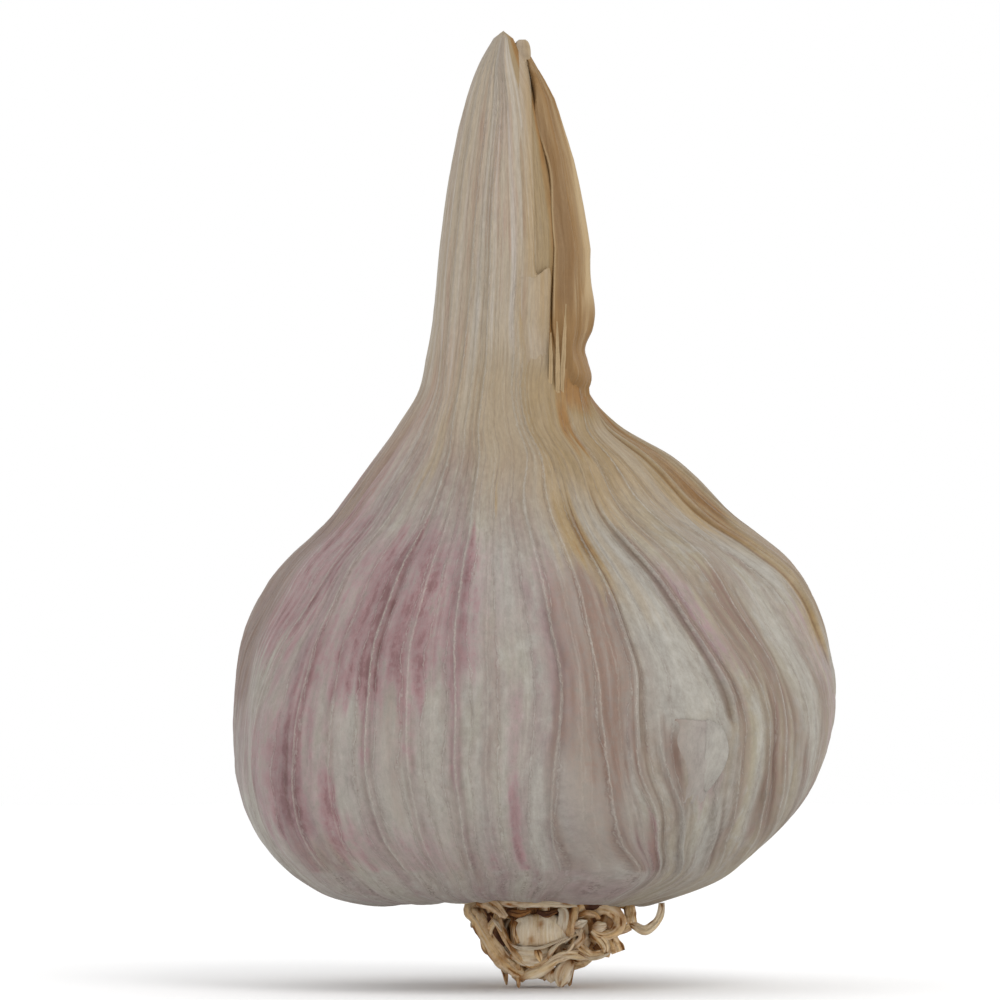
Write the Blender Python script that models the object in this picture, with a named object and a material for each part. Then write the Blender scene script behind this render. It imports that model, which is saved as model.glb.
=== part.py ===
"""A whole head of garlic, standing on its dried root tuft.

Three solids: the bulb (the head of cloves in its papery skin, drawn up into the neck), the brown leaf
sheath that wraps the right and back of the neck, and the root tuft that the head stands on.
The head's axis is +Z and its front faces -Y. An azimuth is an angle round that axis, from the front
(-Y) towards the right (+X). Sizes in this file are in millimetres and become metres in make_object().
"""
import math
import random

import bmesh
import bpy
import numpy as np
from mathutils import Matrix, Vector

MM = 0.001
SMOOTH_ANGLE = math.radians(50)

# --- Driving dimensions: the head's outline, from the root dimple out, round and up to the tip ---
DIMPLE_TOP = (1.2, 0.0, 10.2)
NECK_TIP = (-2.9, 0.0, 86.9)
OUTLINE = [
    # height, half width, centre across
    (8.9, 7.5, 0.4),
    (7.4, 11.6, -2.2),
    (8.0, 15.1, -3.0),
    (9.8, 19.2, -2.4),
    (13.2, 22.7, -2.0),
    (17.6, 25.8, -0.9),
    (22.5, 27.3, -0.2),
    (27.5, 27.4, 0.1),
    (32.5, 26.3, -0.1),
    (37.1, 24.2, 0.1),
    (42.5, 18.7, -0.1),
    (47.6, 13.9, -1.0),
    (51.2, 9.8, -2.5),
    (54.4, 7.6, -2.9),
    (57.2, 7.1, -2.8),
    (60.0, 6.5, -2.9),
    (67.0, 6.1, -2.6),
    (75.2, 4.8, -2.7),
    (80.7, 3.4, -2.8),
    (84.3, 1.9, -3.0),
    (86.2, 0.9, -2.9),
]
BELLY_DEPTH = 0.97        # depth over width of the head
NECK_DEPTH = 0.84         # depth over width of the neck
NECK_BASE = 50.0          # height where the head has become the neck
SHOULDER = 38.0           # height up to which the cloves show through the skin at full depth
ROWS_PER_SPAN = 2

# --- Ribs: the veins of the skin, which run from the root to the tip ---
RIB_COUNT = 56
RIB_SEED = 7
RIB_SPACING_SPREAD = 0.30
RIB_HEIGHT_SPREAD = 0.55
BODY_RIB = 0.28           # half of a rib's height on the head
COLLAR_RIB = 0.36         # and where the skin is gathered into the neck
NECK_RIB = 0.17
COLLAR = 50.0
COLLAR_REACH = 7.0

# --- Clove furrows: azimuth, depth ---
FURROWS = [(-152, 1.6), (-113, 1.6), (-76, 0.8), (-44, 0.45), (-12, 0.3),
           (21, 0.8), (56, 0.9), (95, 1.4), (138, 1.7), (176, 1.5)]
FURROW_SPAN = 17.0
FURROW_SOFTNESS = 2.0

# --- Free edge of the outer skin on the front: height, azimuth; the skin is missing to its right ---
SKIN_EDGE = [(8, 27), (17, 26), (26, 21), (36, 17), (46, 20), (52, 25), (58, 29), (70, 31), (86, 32)]
SKIN_STEP = 0.45
SKIN_STEP_FADE = 34.0

# --- Folded edge of the front skin, which stands up as a ridge beside the brown sheath ---
FOLD_OFFSET = -6.0        # degrees from the skin's free edge
FOLD_SPAN = 8.0
FOLD_HEIGHT = 1.0
FOLD_START = 52.0
FOLD_FULL = 62.0

# --- Brown sheath of the neck ---
SHEATH_FRONT = 37.0       # azimuth of its front edge
SHEATH_BACK = 200.0
SHEATH_GAP = 0.50         # between the bulb's neck, without its ribs, and the sheath
SHEATH_THICKNESS = 0.7
SHEATH_COLUMNS = 26
SHEATH_ROWS = 13
SHEATH_RIB = 0.10
SHEATH_FOOT = 58.6
SHEATH_FOOT_WAVE = 0.5
SHEATH_FLARE = 0.10       # how far the foot turns out
SHEATH_TOP = [(37, 84.6), (54, 85.7), (75, 84.2), (110, 80.5), (150, 75.5), (200, 68.5)]

# --- Root tuft ---
PLATE_CENTRE = Vector((1.2, 0.0, 0.0))
PLATE_PROFILE = [(0.0, 9.7), (3.4, 9.45), (6.4, 8.35), (6.9, 7.8), (6.6, 7.1), (5.4, 6.3), (0.0, 5.9)]
CORE_CENTRE = Vector((0.4, 0.1, 0.0))
CORE_PROFILE = [(0.0, 7.4), (4.4, 7.4), (3.6, 5.0), (2.4, 2.4), (1.0, 0.0), (0.0, 0.0)]
TURN_STEPS = 24
STRAND_SIDES = 6
FEET = [(-1.5, -3.3), (-2.6, 3.3), (3.1, 0.6)]   # three root tips on the floor, round the head's weight
FOOT_THICKNESS = 1.7
FOOT_STEPS = 6
CORE_STRANDS = 9          # trimmed roots round the core, cut off just above the floor
CORE_STRAND_STEPS = 5
CORE_STRAND_END = 0.9
FILL_SIDES = 5
FILL_STEPS = 7
FILL_STRANDS = 24
FILL_FRONT = 40.0         # degrees to each side of the front that the random strands leave open
FILL_SEED = 5
FILL_TOP = 7.3
FILL_TAPER = 0.65
FILL_TWIST = 2.0          # radians

# The strands that show most: points, then the thickness at the root and at the tip
MAIN_STRANDS = {
    "left_ribbon": ([(-3.8, -0.8, 8.0), (-5.7, -1.8, 7.3), (-5.1, -2.8, 6.1), (-4.3, -3.4, 4.6),
                     (-3.3, -3.6, 3.0), (-2.1, -3.6, 1.9), (-0.6, -3.6, 1.4), (0.7, -3.6, 1.9),
                     (2.0, -3.7, 2.7), (3.2, -3.7, 3.1), (4.4, -3.7, 3.0)], 1.6, 1.1),
    "left_inner": ([(-2.4, -2.0, 7.8), (-3.4, -3.3, 6.5), (-2.9, -4.1, 5.0), (-2.3, -4.4, 3.9),
                    (-1.5, -4.4, 2.8), (-0.4, -4.3, 2.3), (0.8, -4.2, 2.7), (1.6, -4.0, 3.6)], 1.4, 0.9),
    "cut_stub": ([(0.4, -1.8, 8.0), (0.5, -2.7, 6.6), (0.6, -3.0, 4.0)], 4.4, 4.4),
    "curl": ([(2.8, -2.0, 7.1), (4.5, -3.7, 7.1), (6.1, -4.1, 7.1), (7.3, -3.9, 6.6), (7.6, -3.8, 5.7),
              (6.9, -4.0, 5.0), (5.8, -4.3, 4.9), (5.0, -4.4, 5.5)], 1.3, 1.0),
    "curl_heart": ([(2.6, -1.4, 6.6), (3.6, -3.0, 6.0), (4.3, -4.0, 5.7)], 1.8, 1.3),
    "curl_seed": ([(3.6, -1.6, 6.6), (5.2, -3.0, 6.0), (6.1, -3.9, 5.8)], 1.6, 1.3),
    "low_shard": ([(1.4, -1.8, 3.8), (2.4, -3.0, 2.6), (2.6, -3.5, 1.5), (2.4, -3.6, 0.25)], 1.8, 1.5),
    "right_flap": ([(3.8, -1.6, 6.2), (5.8, -2.9, 5.4), (6.9, -3.4, 4.5), (7.4, -3.5, 3.4)], 1.4, 1.5),
    "right_low": ([(2.2, -1.4, 4.6), (3.8, -2.8, 3.7), (5.2, -3.2, 3.1), (6.3, -3.2, 3.4)], 1.5, 1.1),
    "right_front": ([(3.0, -2.6, 4.8), (4.2, -3.9, 3.8), (5.0, -4.2, 3.2), (6.2, -4.1, 3.4)], 1.4, 1.0),
    "loop": ([(5.2, -0.8, 7.4), (7.4, -1.6, 7.1), (8.4, -2.1, 6.3), (9.0, -2.3, 5.6), (9.9, -2.4, 5.2),
              (10.7, -2.2, 5.6), (11.2, -1.9, 6.3), (11.4, -1.7, 7.1)], 1.3, 0.7),
    "loop_brace": ([(4.4, -1.2, 6.0), (6.4, -2.0, 5.3), (8.0, -2.3, 5.3), (9.2, -2.3, 5.5)], 1.2, 0.9),
}

MATERIALS = {
    # node: base colour (linear), roughness
    "bulb": ((0.345, 0.287, 0.246), 0.62),
    "neck_sheath": ((0.318, 0.208, 0.105), 0.60),
    "root_tuft": ((0.345, 0.250, 0.130), 0.75),
}


def clear_scene():
    for item in list(bpy.data.objects):
        bpy.data.objects.remove(item, do_unlink=True)


def smooth_step(low, high, value):
    """0 at low, 1 at high, eased between; high may be the smaller one."""
    share = np.clip((np.asarray(value, float) - low) / (high - low), 0.0, 1.0)
    return share * share * (3.0 - 2.0 * share)


def spline(knots, values, at):
    """Values at the places 'at' on a smooth curve through the given knots."""
    knots, values = np.asarray(knots, float), np.asarray(values, float)
    slopes = np.gradient(values, knots, axis=0)
    span = np.clip(np.searchsorted(knots, at, side="right") - 1, 0, len(knots) - 2)
    width = knots[span + 1] - knots[span]
    share = np.clip((at - knots[span]) / width, 0.0, 1.0)
    if values.ndim > 1:
        share, width = share[:, None], width[:, None]
    rise = share * share * (3.0 - 2.0 * share)
    leave = share * (1.0 - share) ** 2 * width
    arrive = share * share * (share - 1.0) * width
    return (values[span] * (1.0 - rise) + values[span + 1] * rise
            + slopes[span] * leave + slopes[span + 1] * arrive)


def sections():
    """Rows of the head: height, half width and centre across, eased through the outline's points."""
    points = np.array(OUTLINE, float)
    steps = np.hypot(np.diff(points[:, 0]), np.diff(points[:, 1]))
    along = np.concatenate([[0.0], np.cumsum(steps)])
    places = [along[0]]
    for low, high in zip(along[:-1], along[1:]):
        places += [low + (high - low) * (step + 1) / ROWS_PER_SPAN for step in range(ROWS_PER_SPAN)]
    return spline(along, points, np.array(places))


def depth_ratio(height):
    return BELLY_DEPTH + (NECK_DEPTH - BELLY_DEPTH) * smooth_step(SHOULDER, NECK_BASE + 8.0, height)


def angle_between(azimuth, other):
    """Signed difference in degrees, from -180 to 180."""
    return (np.asarray(azimuth, float) - other + 180.0) % 360.0 - 180.0


def rib_columns():
    """Azimuth and height factor of each column of the skin: a rib's crest, then the valley after it."""
    draw = random.Random(RIB_SEED)
    widths = [1.0 + RIB_SPACING_SPREAD * draw.uniform(-1, 1) for _ in range(2 * RIB_COUNT)]
    heights = [1.0 + RIB_HEIGHT_SPREAD * draw.uniform(-1, 1) for _ in range(RIB_COUNT)]
    azimuths = -180.0 + 360.0 * np.concatenate([[0.0], np.cumsum(widths)[:-1]]) / sum(widths)
    factors = np.array([factor for height in heights for factor in (height, -height)])
    return azimuths, factors


def rib_height(height):
    body_to_neck = BODY_RIB + (NECK_RIB - BODY_RIB) * smooth_step(SHOULDER, NECK_BASE + 8.0, height)
    collar = np.exp(-((height - COLLAR) / COLLAR_REACH) ** 2)
    near_tip = 1.0 - smooth_step(80.0, 86.0, height)
    return (body_to_neck + (COLLAR_RIB - BODY_RIB) * collar) * near_tip


def clove_lobes(azimuth, height):
    """How far the furrows between cloves dip below the plain round of the head."""
    dip = np.zeros(np.broadcast(azimuth, height).shape)
    for place, depth in FURROWS:
        away = np.sqrt(angle_between(azimuth, place) ** 2 + FURROW_SOFTNESS ** 2)
        dip += depth * np.clip(1.0 - away / FURROW_SPAN, 0.0, None) ** 2
    return -dip * smooth_step(NECK_BASE, SHOULDER, height)


def skin_edge(azimuth, height):
    """The step down from the outer skin's free edge, which fades out to the right of it."""
    heights, azimuths = zip(*SKIN_EDGE)
    past = angle_between(azimuth, np.interp(height, heights, azimuths))
    return -SKIN_STEP * smooth_step(-1.0, 2.0, past) * (1.0 - smooth_step(2.0, SKIN_STEP_FADE, past))


def neck_fold(azimuth, height):
    heights, azimuths = zip(*SKIN_EDGE)
    away = angle_between(azimuth, np.interp(height, heights, azimuths) + FOLD_OFFSET)
    ridge = np.clip(1.0 - (away / FOLD_SPAN) ** 2, 0.0, None)
    return FOLD_HEIGHT * ridge * smooth_step(FOLD_START, FOLD_FULL, height) \
        * (1.0 - smooth_step(82.0, 86.0, height))


def skin_rings():
    """One ring of points for each row of the head, with lobes, ribs, free edge and fold."""
    azimuths, factors = rib_columns()
    rows = sections()
    height, half, centre = (rows[:, column][:, None] for column in range(3))
    depth = half * depth_ratio(height)
    underside = smooth_step(7.0, 16.0, half) + smooth_step(30.0, 45.0, height)
    underside = np.clip(underside, 0.0, 1.0)
    offset = factors * rib_height(height) + clove_lobes(azimuths, height)
    offset = (offset + skin_edge(azimuths, height)) * underside + neck_fold(azimuths, height)
    turn = np.radians(azimuths)
    across = centre + (half + offset) * np.sin(turn)
    back = -(depth + offset) * np.cos(turn)
    return np.stack([across, back, np.broadcast_to(height, across.shape)], axis=-1)


def make_object(name, mesh_builder):
    """A named object in metres from a bmesh in millimetres, which is used up."""
    mesh = bpy.data.meshes.new(name)
    bmesh.ops.recalc_face_normals(mesh_builder, faces=mesh_builder.faces)
    mesh_builder.to_mesh(mesh)
    mesh_builder.free()
    mesh.transform(Matrix.Scale(MM, 4))
    item = bpy.data.objects.new(name, mesh)
    bpy.context.scene.collection.objects.link(item)
    return item


def finish_surface(item, node):
    """Give an object its node's material and smooth shading."""
    colour, roughness = MATERIALS[node]
    material = bpy.data.materials.new(node)
    material.use_nodes = True
    shader = material.node_tree.nodes["Principled BSDF"]
    shader.inputs["Base Color"].default_value = (*colour, 1.0)
    shader.inputs["Roughness"].default_value = roughness
    shader.inputs["Metallic"].default_value = 0.0
    item.data.materials.clear()
    item.data.materials.append(material)
    item.data.shade_smooth()
    item.data.set_sharp_from_angle(angle=SMOOTH_ANGLE)


def loft(rings, start=None, end=None):
    """Closed surface through rings of points, ended in a point, or flat where none is given."""
    shape = bmesh.new()
    loops = [[shape.verts.new(point) for point in ring] for ring in rings]
    count = len(loops[0])
    for lower, upper in zip(loops[:-1], loops[1:]):
        for i in range(count):
            j = (i + 1) % count
            shape.faces.new((lower[i], lower[j], upper[j], upper[i]))
    for loop, tip in ((loops[0], start), (loops[-1], end)):
        if tip is None:
            shape.faces.new(loop)
            continue
        point = shape.verts.new(tip)
        for i in range(count):
            shape.faces.new((loop[i], loop[(i + 1) % count], point))
    return shape


def make_bulb():
    shape = loft(skin_rings(), start=DIMPLE_TOP, end=NECK_TIP)
    bulb = make_object("bulb", shape)
    finish_surface(bulb, "bulb")
    return bulb


def neck_surface(azimuth, height, out):
    """A point 'out' millimetres off the plain round of the neck."""
    points = np.array(OUTLINE, float)
    neck = points[points[:, 0] > NECK_BASE]
    half, centre = (np.interp(height, neck[:, 0], neck[:, column]) for column in (1, 2))
    turn = math.radians(azimuth)
    across = centre + (half + out) * math.sin(turn)
    back = -(half * float(depth_ratio(height)) + out) * math.cos(turn)
    return (float(across), back, height)


def make_neck_sheath():
    """A dry leaf round the right and back of the neck, open to the front, with a slanted top."""
    top_azimuths, top_heights = zip(*SHEATH_TOP)
    shape = bmesh.new()
    grid = []
    for column in range(SHEATH_COLUMNS + 1):
        share = column / SHEATH_COLUMNS
        azimuth = SHEATH_FRONT + (SHEATH_BACK - SHEATH_FRONT) * share
        top = float(spline(top_azimuths, top_heights, np.array([azimuth]))[0])
        foot = SHEATH_FOOT + SHEATH_FOOT_WAVE * math.sin(azimuth * 0.11)
        rib = SHEATH_RIB * (-1) ** column
        line = []
        for row in range(SHEATH_ROWS + 1):
            height = foot + (top - foot) * row / SHEATH_ROWS
            flare = SHEATH_FLARE * (1.0 - float(smooth_step(foot, foot + 4.0, height)))
            line.append(shape.verts.new(neck_surface(azimuth, height, SHEATH_GAP + rib + flare)))
        grid.append(line)
    for left, right in zip(grid[:-1], grid[1:]):
        for row in range(SHEATH_ROWS):
            shape.faces.new((left[row], right[row], right[row + 1], left[row + 1]))
    sheath = make_object("neck_sheath", shape)
    thicken = sheath.modifiers.new("thickness", "SOLIDIFY")
    thicken.thickness = SHEATH_THICKNESS * MM
    thicken.offset = 1.0
    thicken.use_even_offset = True
    finish_surface(sheath, "neck_sheath")
    return sheath


def turned(profile, centre):
    """A closed turned body from a profile of (radius, height), first and last on the axis."""
    rings = []
    for radius, height in profile[1:-1]:
        ring = []
        for step in range(TURN_STEPS):
            turn = 2.0 * math.pi * step / TURN_STEPS
            ring.append(centre + Vector((radius * math.cos(turn), radius * math.sin(turn), height)))
        rings.append(ring)
    top, foot = (centre + Vector((0.0, 0.0, profile[end][1])) for end in (0, -1))
    return loft(rings, start=top, end=foot)


def strand(points, root_thickness, tip_thickness, steps, sides=STRAND_SIDES, flat=0.8, twist=0.0,
           pointed=False):
    """A tapered tube along a smooth line; 'flat' squeezes it to a ribbon that turns by 'twist'."""
    knots = np.arange(len(points), dtype=float)
    line = spline(knots, np.array(points, float), np.linspace(0.0, knots[-1], steps))
    line = [Vector(point) for point in line]
    side = None
    rings = []
    for index, point in enumerate(line):
        ahead = (line[min(index + 1, steps - 1)] - line[max(index - 1, 0)]).normalized()
        if side is None:
            side = ahead.orthogonal().normalized()
        side = (side - ahead * side.dot(ahead)).normalized()
        other = ahead.cross(side)
        share = index / (steps - 1)
        radius = 0.5 * (root_thickness + (tip_thickness - root_thickness) * share)
        ring = []
        for corner in range(sides):
            turn = 2.0 * math.pi * corner / sides
            wide, thin = radius * math.cos(turn), radius * flat * math.sin(turn)
            roll = twist * share
            u = wide * math.cos(roll) - thin * math.sin(roll)
            v = wide * math.sin(roll) + thin * math.cos(roll)
            ring.append(point + side * u + other * v)
        rings.append(ring)
    if pointed:
        return loft(rings[:-1], end=line[-1])
    return loft(rings)


def tuft_reach(height):
    """How far the tuft spreads from its middle at a height."""
    return 2.7 + 0.70 * height


def foot_strand(place):
    """A root from the plate down to a point on the floor."""
    across, back = place
    points = [(1.1 * across, 1.1 * back, 6.6), (1.2 * across, 1.1 * back, 4.0),
              (1.1 * across, 1.05 * back, 1.8), (across, back, 0.0)]
    return strand(points, FOOT_THICKNESS, FOOT_THICKNESS, FOOT_STEPS, FILL_SIDES, pointed=True)


def core_strand(draw, index):
    """A stout root beside the core, which goes down almost to the floor."""
    turn = 2.0 * math.pi * (index + draw.uniform(-0.2, 0.2)) / CORE_STRANDS
    points = []
    for height, reach in ((6.4, 3.4), (4.0, 3.0), (1.8, 2.5), (CORE_STRAND_END, 2.1)):
        wander = turn + draw.uniform(-0.22, 0.22)
        points.append((CORE_CENTRE.x + reach * math.sin(wander), -reach * math.cos(wander), height))
    thickness = draw.uniform(1.2, 1.9)
    return strand(points, thickness, thickness, CORE_STRAND_STEPS, FILL_SIDES, twist=draw.uniform(-1, 1))


def fill_strand(draw, index):
    """A curled, trimmed root from the plate, drawn at random inside the tuft's cone."""
    share_round = (index + draw.uniform(0.1, 0.9)) / FILL_STRANDS
    turn = math.radians(FILL_FRONT + (360.0 - 2.0 * FILL_FRONT) * share_round)
    swing = draw.uniform(-0.6, 0.6)
    end_height = draw.uniform(0.9, 4.6)
    root = draw.uniform(1.5, 4.6)
    points = []
    for share in (0.0, 0.3, 0.6, 0.85, 1.0):
        height = FILL_TOP + (end_height - FILL_TOP) * share
        reach = root + (draw.uniform(0.80, 0.97) * tuft_reach(height) - root) * min(1.0, share * 1.9)
        if share == 1.0:
            reach -= draw.uniform(0.4, 1.4)
            height += draw.uniform(0.0, 0.7)
        angle = turn + swing * share
        points.append((CORE_CENTRE.x + reach * math.sin(angle), -reach * math.cos(angle), height))
    thickness = draw.uniform(1.0, 1.6)
    return strand(points, thickness, FILL_TAPER * thickness, FILL_STEPS, FILL_SIDES,
                  twist=draw.uniform(-FILL_TWIST, FILL_TWIST))


def keep_outer_shell(mesh):
    """Fill the pockets sealed between joined strands, and drop scraps: only the widest shell stays."""
    shape = bmesh.new()
    shape.from_mesh(mesh)
    unseen = set(shape.faces)
    shells = []
    while unseen:
        front = [unseen.pop()]
        shell = []
        while front:
            face = front.pop()
            shell.append(face)
            near = {other for edge in face.edges for other in edge.link_faces} & unseen
            unseen -= near
            front.extend(near)
        shells.append(shell)
    outer = max(shells, key=len)
    spare = [face for shell in shells if shell is not outer for face in shell]
    bmesh.ops.delete(shape, geom=spare, context="FACES")
    shape.to_mesh(mesh)
    shape.free()


def make_root_tuft():
    """The basal plate, a slim core and every strand, joined in one body."""
    shapes = [turned(CORE_PROFILE, CORE_CENTRE)]
    for points, root, tip in MAIN_STRANDS.values():
        shapes.append(strand(points, root, tip, steps=len(points) + 3))
    shapes += [foot_strand(place) for place in FEET]
    draw = random.Random(FILL_SEED)
    shapes += [core_strand(draw, index) for index in range(CORE_STRANDS)]
    shapes += [fill_strand(draw, index) for index in range(FILL_STRANDS)]
    pieces = bpy.data.collections.new("tuft_pieces")
    bpy.context.scene.collection.children.link(pieces)
    for index, shape in enumerate(shapes):
        piece = make_object(f"tuft_piece_{index}", shape)
        bpy.context.scene.collection.objects.unlink(piece)
        pieces.objects.link(piece)

    tuft = make_object("root_tuft", turned(PLATE_PROFILE, PLATE_CENTRE))
    join = tuft.modifiers.new("join", "BOOLEAN")
    join.operation = "UNION"
    join.operand_type = "COLLECTION"
    join.collection = pieces
    join.solver = "MANIFOLD"
    settled = tuft.evaluated_get(bpy.context.evaluated_depsgraph_get())
    joined = bpy.data.meshes.new_from_object(settled)
    tuft.modifiers.clear()
    tuft.data = joined
    keep_outer_shell(joined)
    for piece in list(pieces.objects):
        bpy.data.objects.remove(piece, do_unlink=True)
    bpy.data.collections.remove(pieces)
    finish_surface(tuft, "root_tuft")
    return tuft


def main():
    clear_scene()
    make_bulb()
    make_neck_sheath()
    make_root_tuft()


main()
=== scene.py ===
"""The looks of a head of garlic: its papery skin, the dry leaf round its neck and its dried roots.

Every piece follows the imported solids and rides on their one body. Sizes in this file are in millimetres
and become metres in make_mesh(). An azimuth is an angle round +Z in degrees, from the front (-Y) towards
the right (+X). The skin's veins aren't upright, so markings are placed by height and by their vein's
azimuth 30 mm up, called its "vein" below; VEIN_PATHS says where each vein runs.
"""
import math
import random

import bpy
import numpy as np
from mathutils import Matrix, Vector


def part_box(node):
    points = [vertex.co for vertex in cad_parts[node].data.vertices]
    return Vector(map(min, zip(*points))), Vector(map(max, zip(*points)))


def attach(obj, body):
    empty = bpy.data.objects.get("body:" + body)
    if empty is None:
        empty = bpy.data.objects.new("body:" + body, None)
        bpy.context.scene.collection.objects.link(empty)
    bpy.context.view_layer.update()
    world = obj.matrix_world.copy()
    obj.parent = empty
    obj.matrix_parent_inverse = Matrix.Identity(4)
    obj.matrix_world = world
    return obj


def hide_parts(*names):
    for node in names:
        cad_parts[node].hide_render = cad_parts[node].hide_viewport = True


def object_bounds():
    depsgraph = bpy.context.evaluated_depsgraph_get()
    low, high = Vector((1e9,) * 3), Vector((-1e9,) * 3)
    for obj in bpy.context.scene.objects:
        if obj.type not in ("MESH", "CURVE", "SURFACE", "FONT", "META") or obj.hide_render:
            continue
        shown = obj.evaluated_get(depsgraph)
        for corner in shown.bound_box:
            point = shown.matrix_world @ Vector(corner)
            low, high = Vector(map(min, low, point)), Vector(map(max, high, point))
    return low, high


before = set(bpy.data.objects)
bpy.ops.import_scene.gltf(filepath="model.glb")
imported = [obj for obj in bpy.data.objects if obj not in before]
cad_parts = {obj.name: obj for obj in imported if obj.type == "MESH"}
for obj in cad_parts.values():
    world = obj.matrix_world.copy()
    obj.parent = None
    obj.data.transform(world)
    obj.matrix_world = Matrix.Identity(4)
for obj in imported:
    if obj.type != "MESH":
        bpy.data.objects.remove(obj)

CAD_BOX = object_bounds()
MM = 0.001
BODY = "root"

# --- The head, as in the part's source but for up to 0.5 mm: height, half width, centre across ---
DIMPLE_TOP = (1.2, 0.0, 10.2)
NECK_TIP = (-2.9, 0.0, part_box("bulb")[1].z / MM)
OUTLINE = [(8.9, 7.5, .4), (7.4, 11.6, -2.2), (8, 15.1, -3), (9.8, 19.2, -2.4), (13.2, 23.1, -1.85),
           (17.6, 26, -.88), (22.5, 27.3, -.2), (27.5, 27.4, .1), (32.5, 26.3, -.1), (37.1, 24.15, .05),
           (42.5, 18.5, -.3), (47.6, 13.9, -1), (51.2, 9.8, -2.5), (54.4, 7.6, -2.9), (57.2, 7.1, -2.8),
           (60, 6.5, -2.9), (67, 6.1, -2.6), (75.2, 4.8, -2.7), (80.7, 3.4, -2.8), (84.3, 1.9, -3),
           (86.2, .9, -2.9)]
BELLY_DEPTH = 0.97
NECK_DEPTH = 0.84
NECK_BASE = 50.0
SHOULDER = 38.0
# furrows between the cloves: azimuth and depth
FURROWS = [(-152, 1.6), (-113, 1.6), (-76, .8), (-44, .45), (-12, .3), (21, .8), (56, .9), (95, 1.4),
           (138, 1.7), (176, 1.5)]
FURROW_SPAN = 17.0
FURROW_SOFTNESS = 2.0
FRONT_LIFT = 0.8        # how much higher the skin's lower edge is at the front, where the roots show
FRONT_LIFT_SPAN = 50.0

# --- Vein paths: azimuth of each vein at VEIN_HEIGHTS, keyed by its azimuth 30 mm up ---
VEIN_HEIGHTS = [8, 10, 13, 16, 20, 25, 30, 35, 40, 45, 50, 55, 62, 70, 80]
VEIN_PATHS = {
    -180: [-180] * 15,
    -126: [-121, -121, -122, -123, -125, -126, -126, -126, -126, -126, -126, -126, -126, -126, -126],
    -82: [-97, -96, -95, -93, -89, -86, -82, -76, -77, -79, -78, -76, -76, -76, -76],
    -60: [-79, -77, -75, -73, -71, -67, -60, -53, -52, -52, -50, -51, -57, -58, -58],
    -48.5: [-55, -54, -53.5, -53, -52, -51, -48.5, -46, -46, -44, -41, -44, -46, -46, -44],
    -33: [-25, -26, -29, -31, -33, -33.5, -33, -31, -30.5, -30, -29.5, -31, -28.5, -28, -23],
    -15.5: [-7, -9, -11, -12.5, -14.5, -15, -15.5, -15.7, -16.5, -17.5, -16, -13.5, -12, -13, -7],
    4: [16, 14, 9, 6, 4.5, 4.2, 4, 2, -.5, -2, 4, 6, 8, 7, 5],
    11: [41, 37, 26, 20, 15.5, 12, 11, 9.5, 6.8, 5, 8.5, 12, 16, 17, 17],
    19: [47, 43, 34.5, 29, 22, 19.2, 19, 16.5, 12.7, 10.8, 13, 18, 25, 26, 26],
    35: [60, 57, 48, 44, 41.5, 39.5, 35, 29.5, 24, 20.2, 25, 38, 41, 41, 42],
    51.5: [88, 84, 78, 68, 61, 57, 51.5, 44, 40.5, 33.5, 39, 66, 68, 70, 72],
    77: [104, 101, 96, 91, 86, 82, 77, 73.5, 64, 55, 57, 82, 88, 90, 92],
    118: [122, 121, 120, 119, 118, 118, 118, 117, 114, 110, 110, 118, 120, 120, 120],
    152: [153, 153, 152, 152, 152, 152, 152, 152, 151, 150, 150, 152, 152, 152, 152],
    180: [180] * 15,
}

# --- Mesh of the skin ---
SKIN_ROWS = 150
SKIN_COLUMNS = 660
FRONT_DENSITY = 3.0     # columns are this much closer at the front than at the back
FRONT_EDGE = (82.0, 108.0)

# --- Raised veins: vein at the low and the high end, lowest and highest place, height, half width ---
MAIN_VEINS = [(-82, -82, 12, 44, .1, .35), (-70, -70, 20, 46, .07, .3), (-60, -60, 10, 60, .14, .3),
              (-54, -54, 30, 58, .07, .25), (-48.5, -48.5, 9, 86, .14, .3), (-41, -41, 9, 50, .07, .25),
              (-33, -33, 9, 86, .2, .28), (-24.5, -24.5, 10, 80, .12, .26), (-20, -20, 9, 46, .05, .22),
              (-15.5, -15.5, 8, 86, .17, .28), (-9, -9, 9, 50, .08, .24), (-2, -2, 9, 60, .05, .22),
              (4, 4, 9, 66, .14, .28), (7.5, 7.5, 14, 40, .04, .2), (11, 11, 9, 58, .13, .26),
              (15, 15, 9, 36, .06, .22), (18.8, 18.8, 8, 43, .18, .26), (27, 22.5, 8, 24, .36, .36),
              (37, 32.5, 12, 18.5, .26, .28), (40.5, 36.7, 11, 21, .28, .28),
              (46.5, 44.5, 12, 30, .2, .28), (50.2, 52.6, 13, 56, .2, .28),
              (35.6, 35.6, 24, 42, .18, .26), (43, 43, 38, 52, .12, .3), (58.5, 58.5, 14, 30, .12, .32),
              (67.5, 61.5, 36, 43, .3, .26), (84, 84, 12, 46, .12, .35), (92, 92, 20, 50, .14, .35)]
# --- Fine veins at random places ---
FINE_SEED = 31
FINE_SPACING = (2.6, 7.5)  # in degrees
FINE_TROUGH = 0.055        # depth of the skin between them
COLLAR_TROUGH = 0.15       # and this much more where the skin gathers under the neck
FINE_CREST = 0.06
FINE_HALF_WIDTH = 0.24
# --- Grooves beside the raised veins, in the same form as those ---
GROOVES = [(53.4, 54.8, 16, 37, .16, .7), (20.2, 20.2, 8, 24, .1, .28), (-31.8, -31.8, 28, 40, .06, .3),
           (-49.9, -49.9, 14, 24, .08, .3), (48.4, 47, 13, 28, .16, .6), (30, 25, 9, 23, .16, .7),
           (38.6, 34.8, 11, 19, .16, .5), (37.3, 37, 24, 40, .08, .4)]
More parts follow.
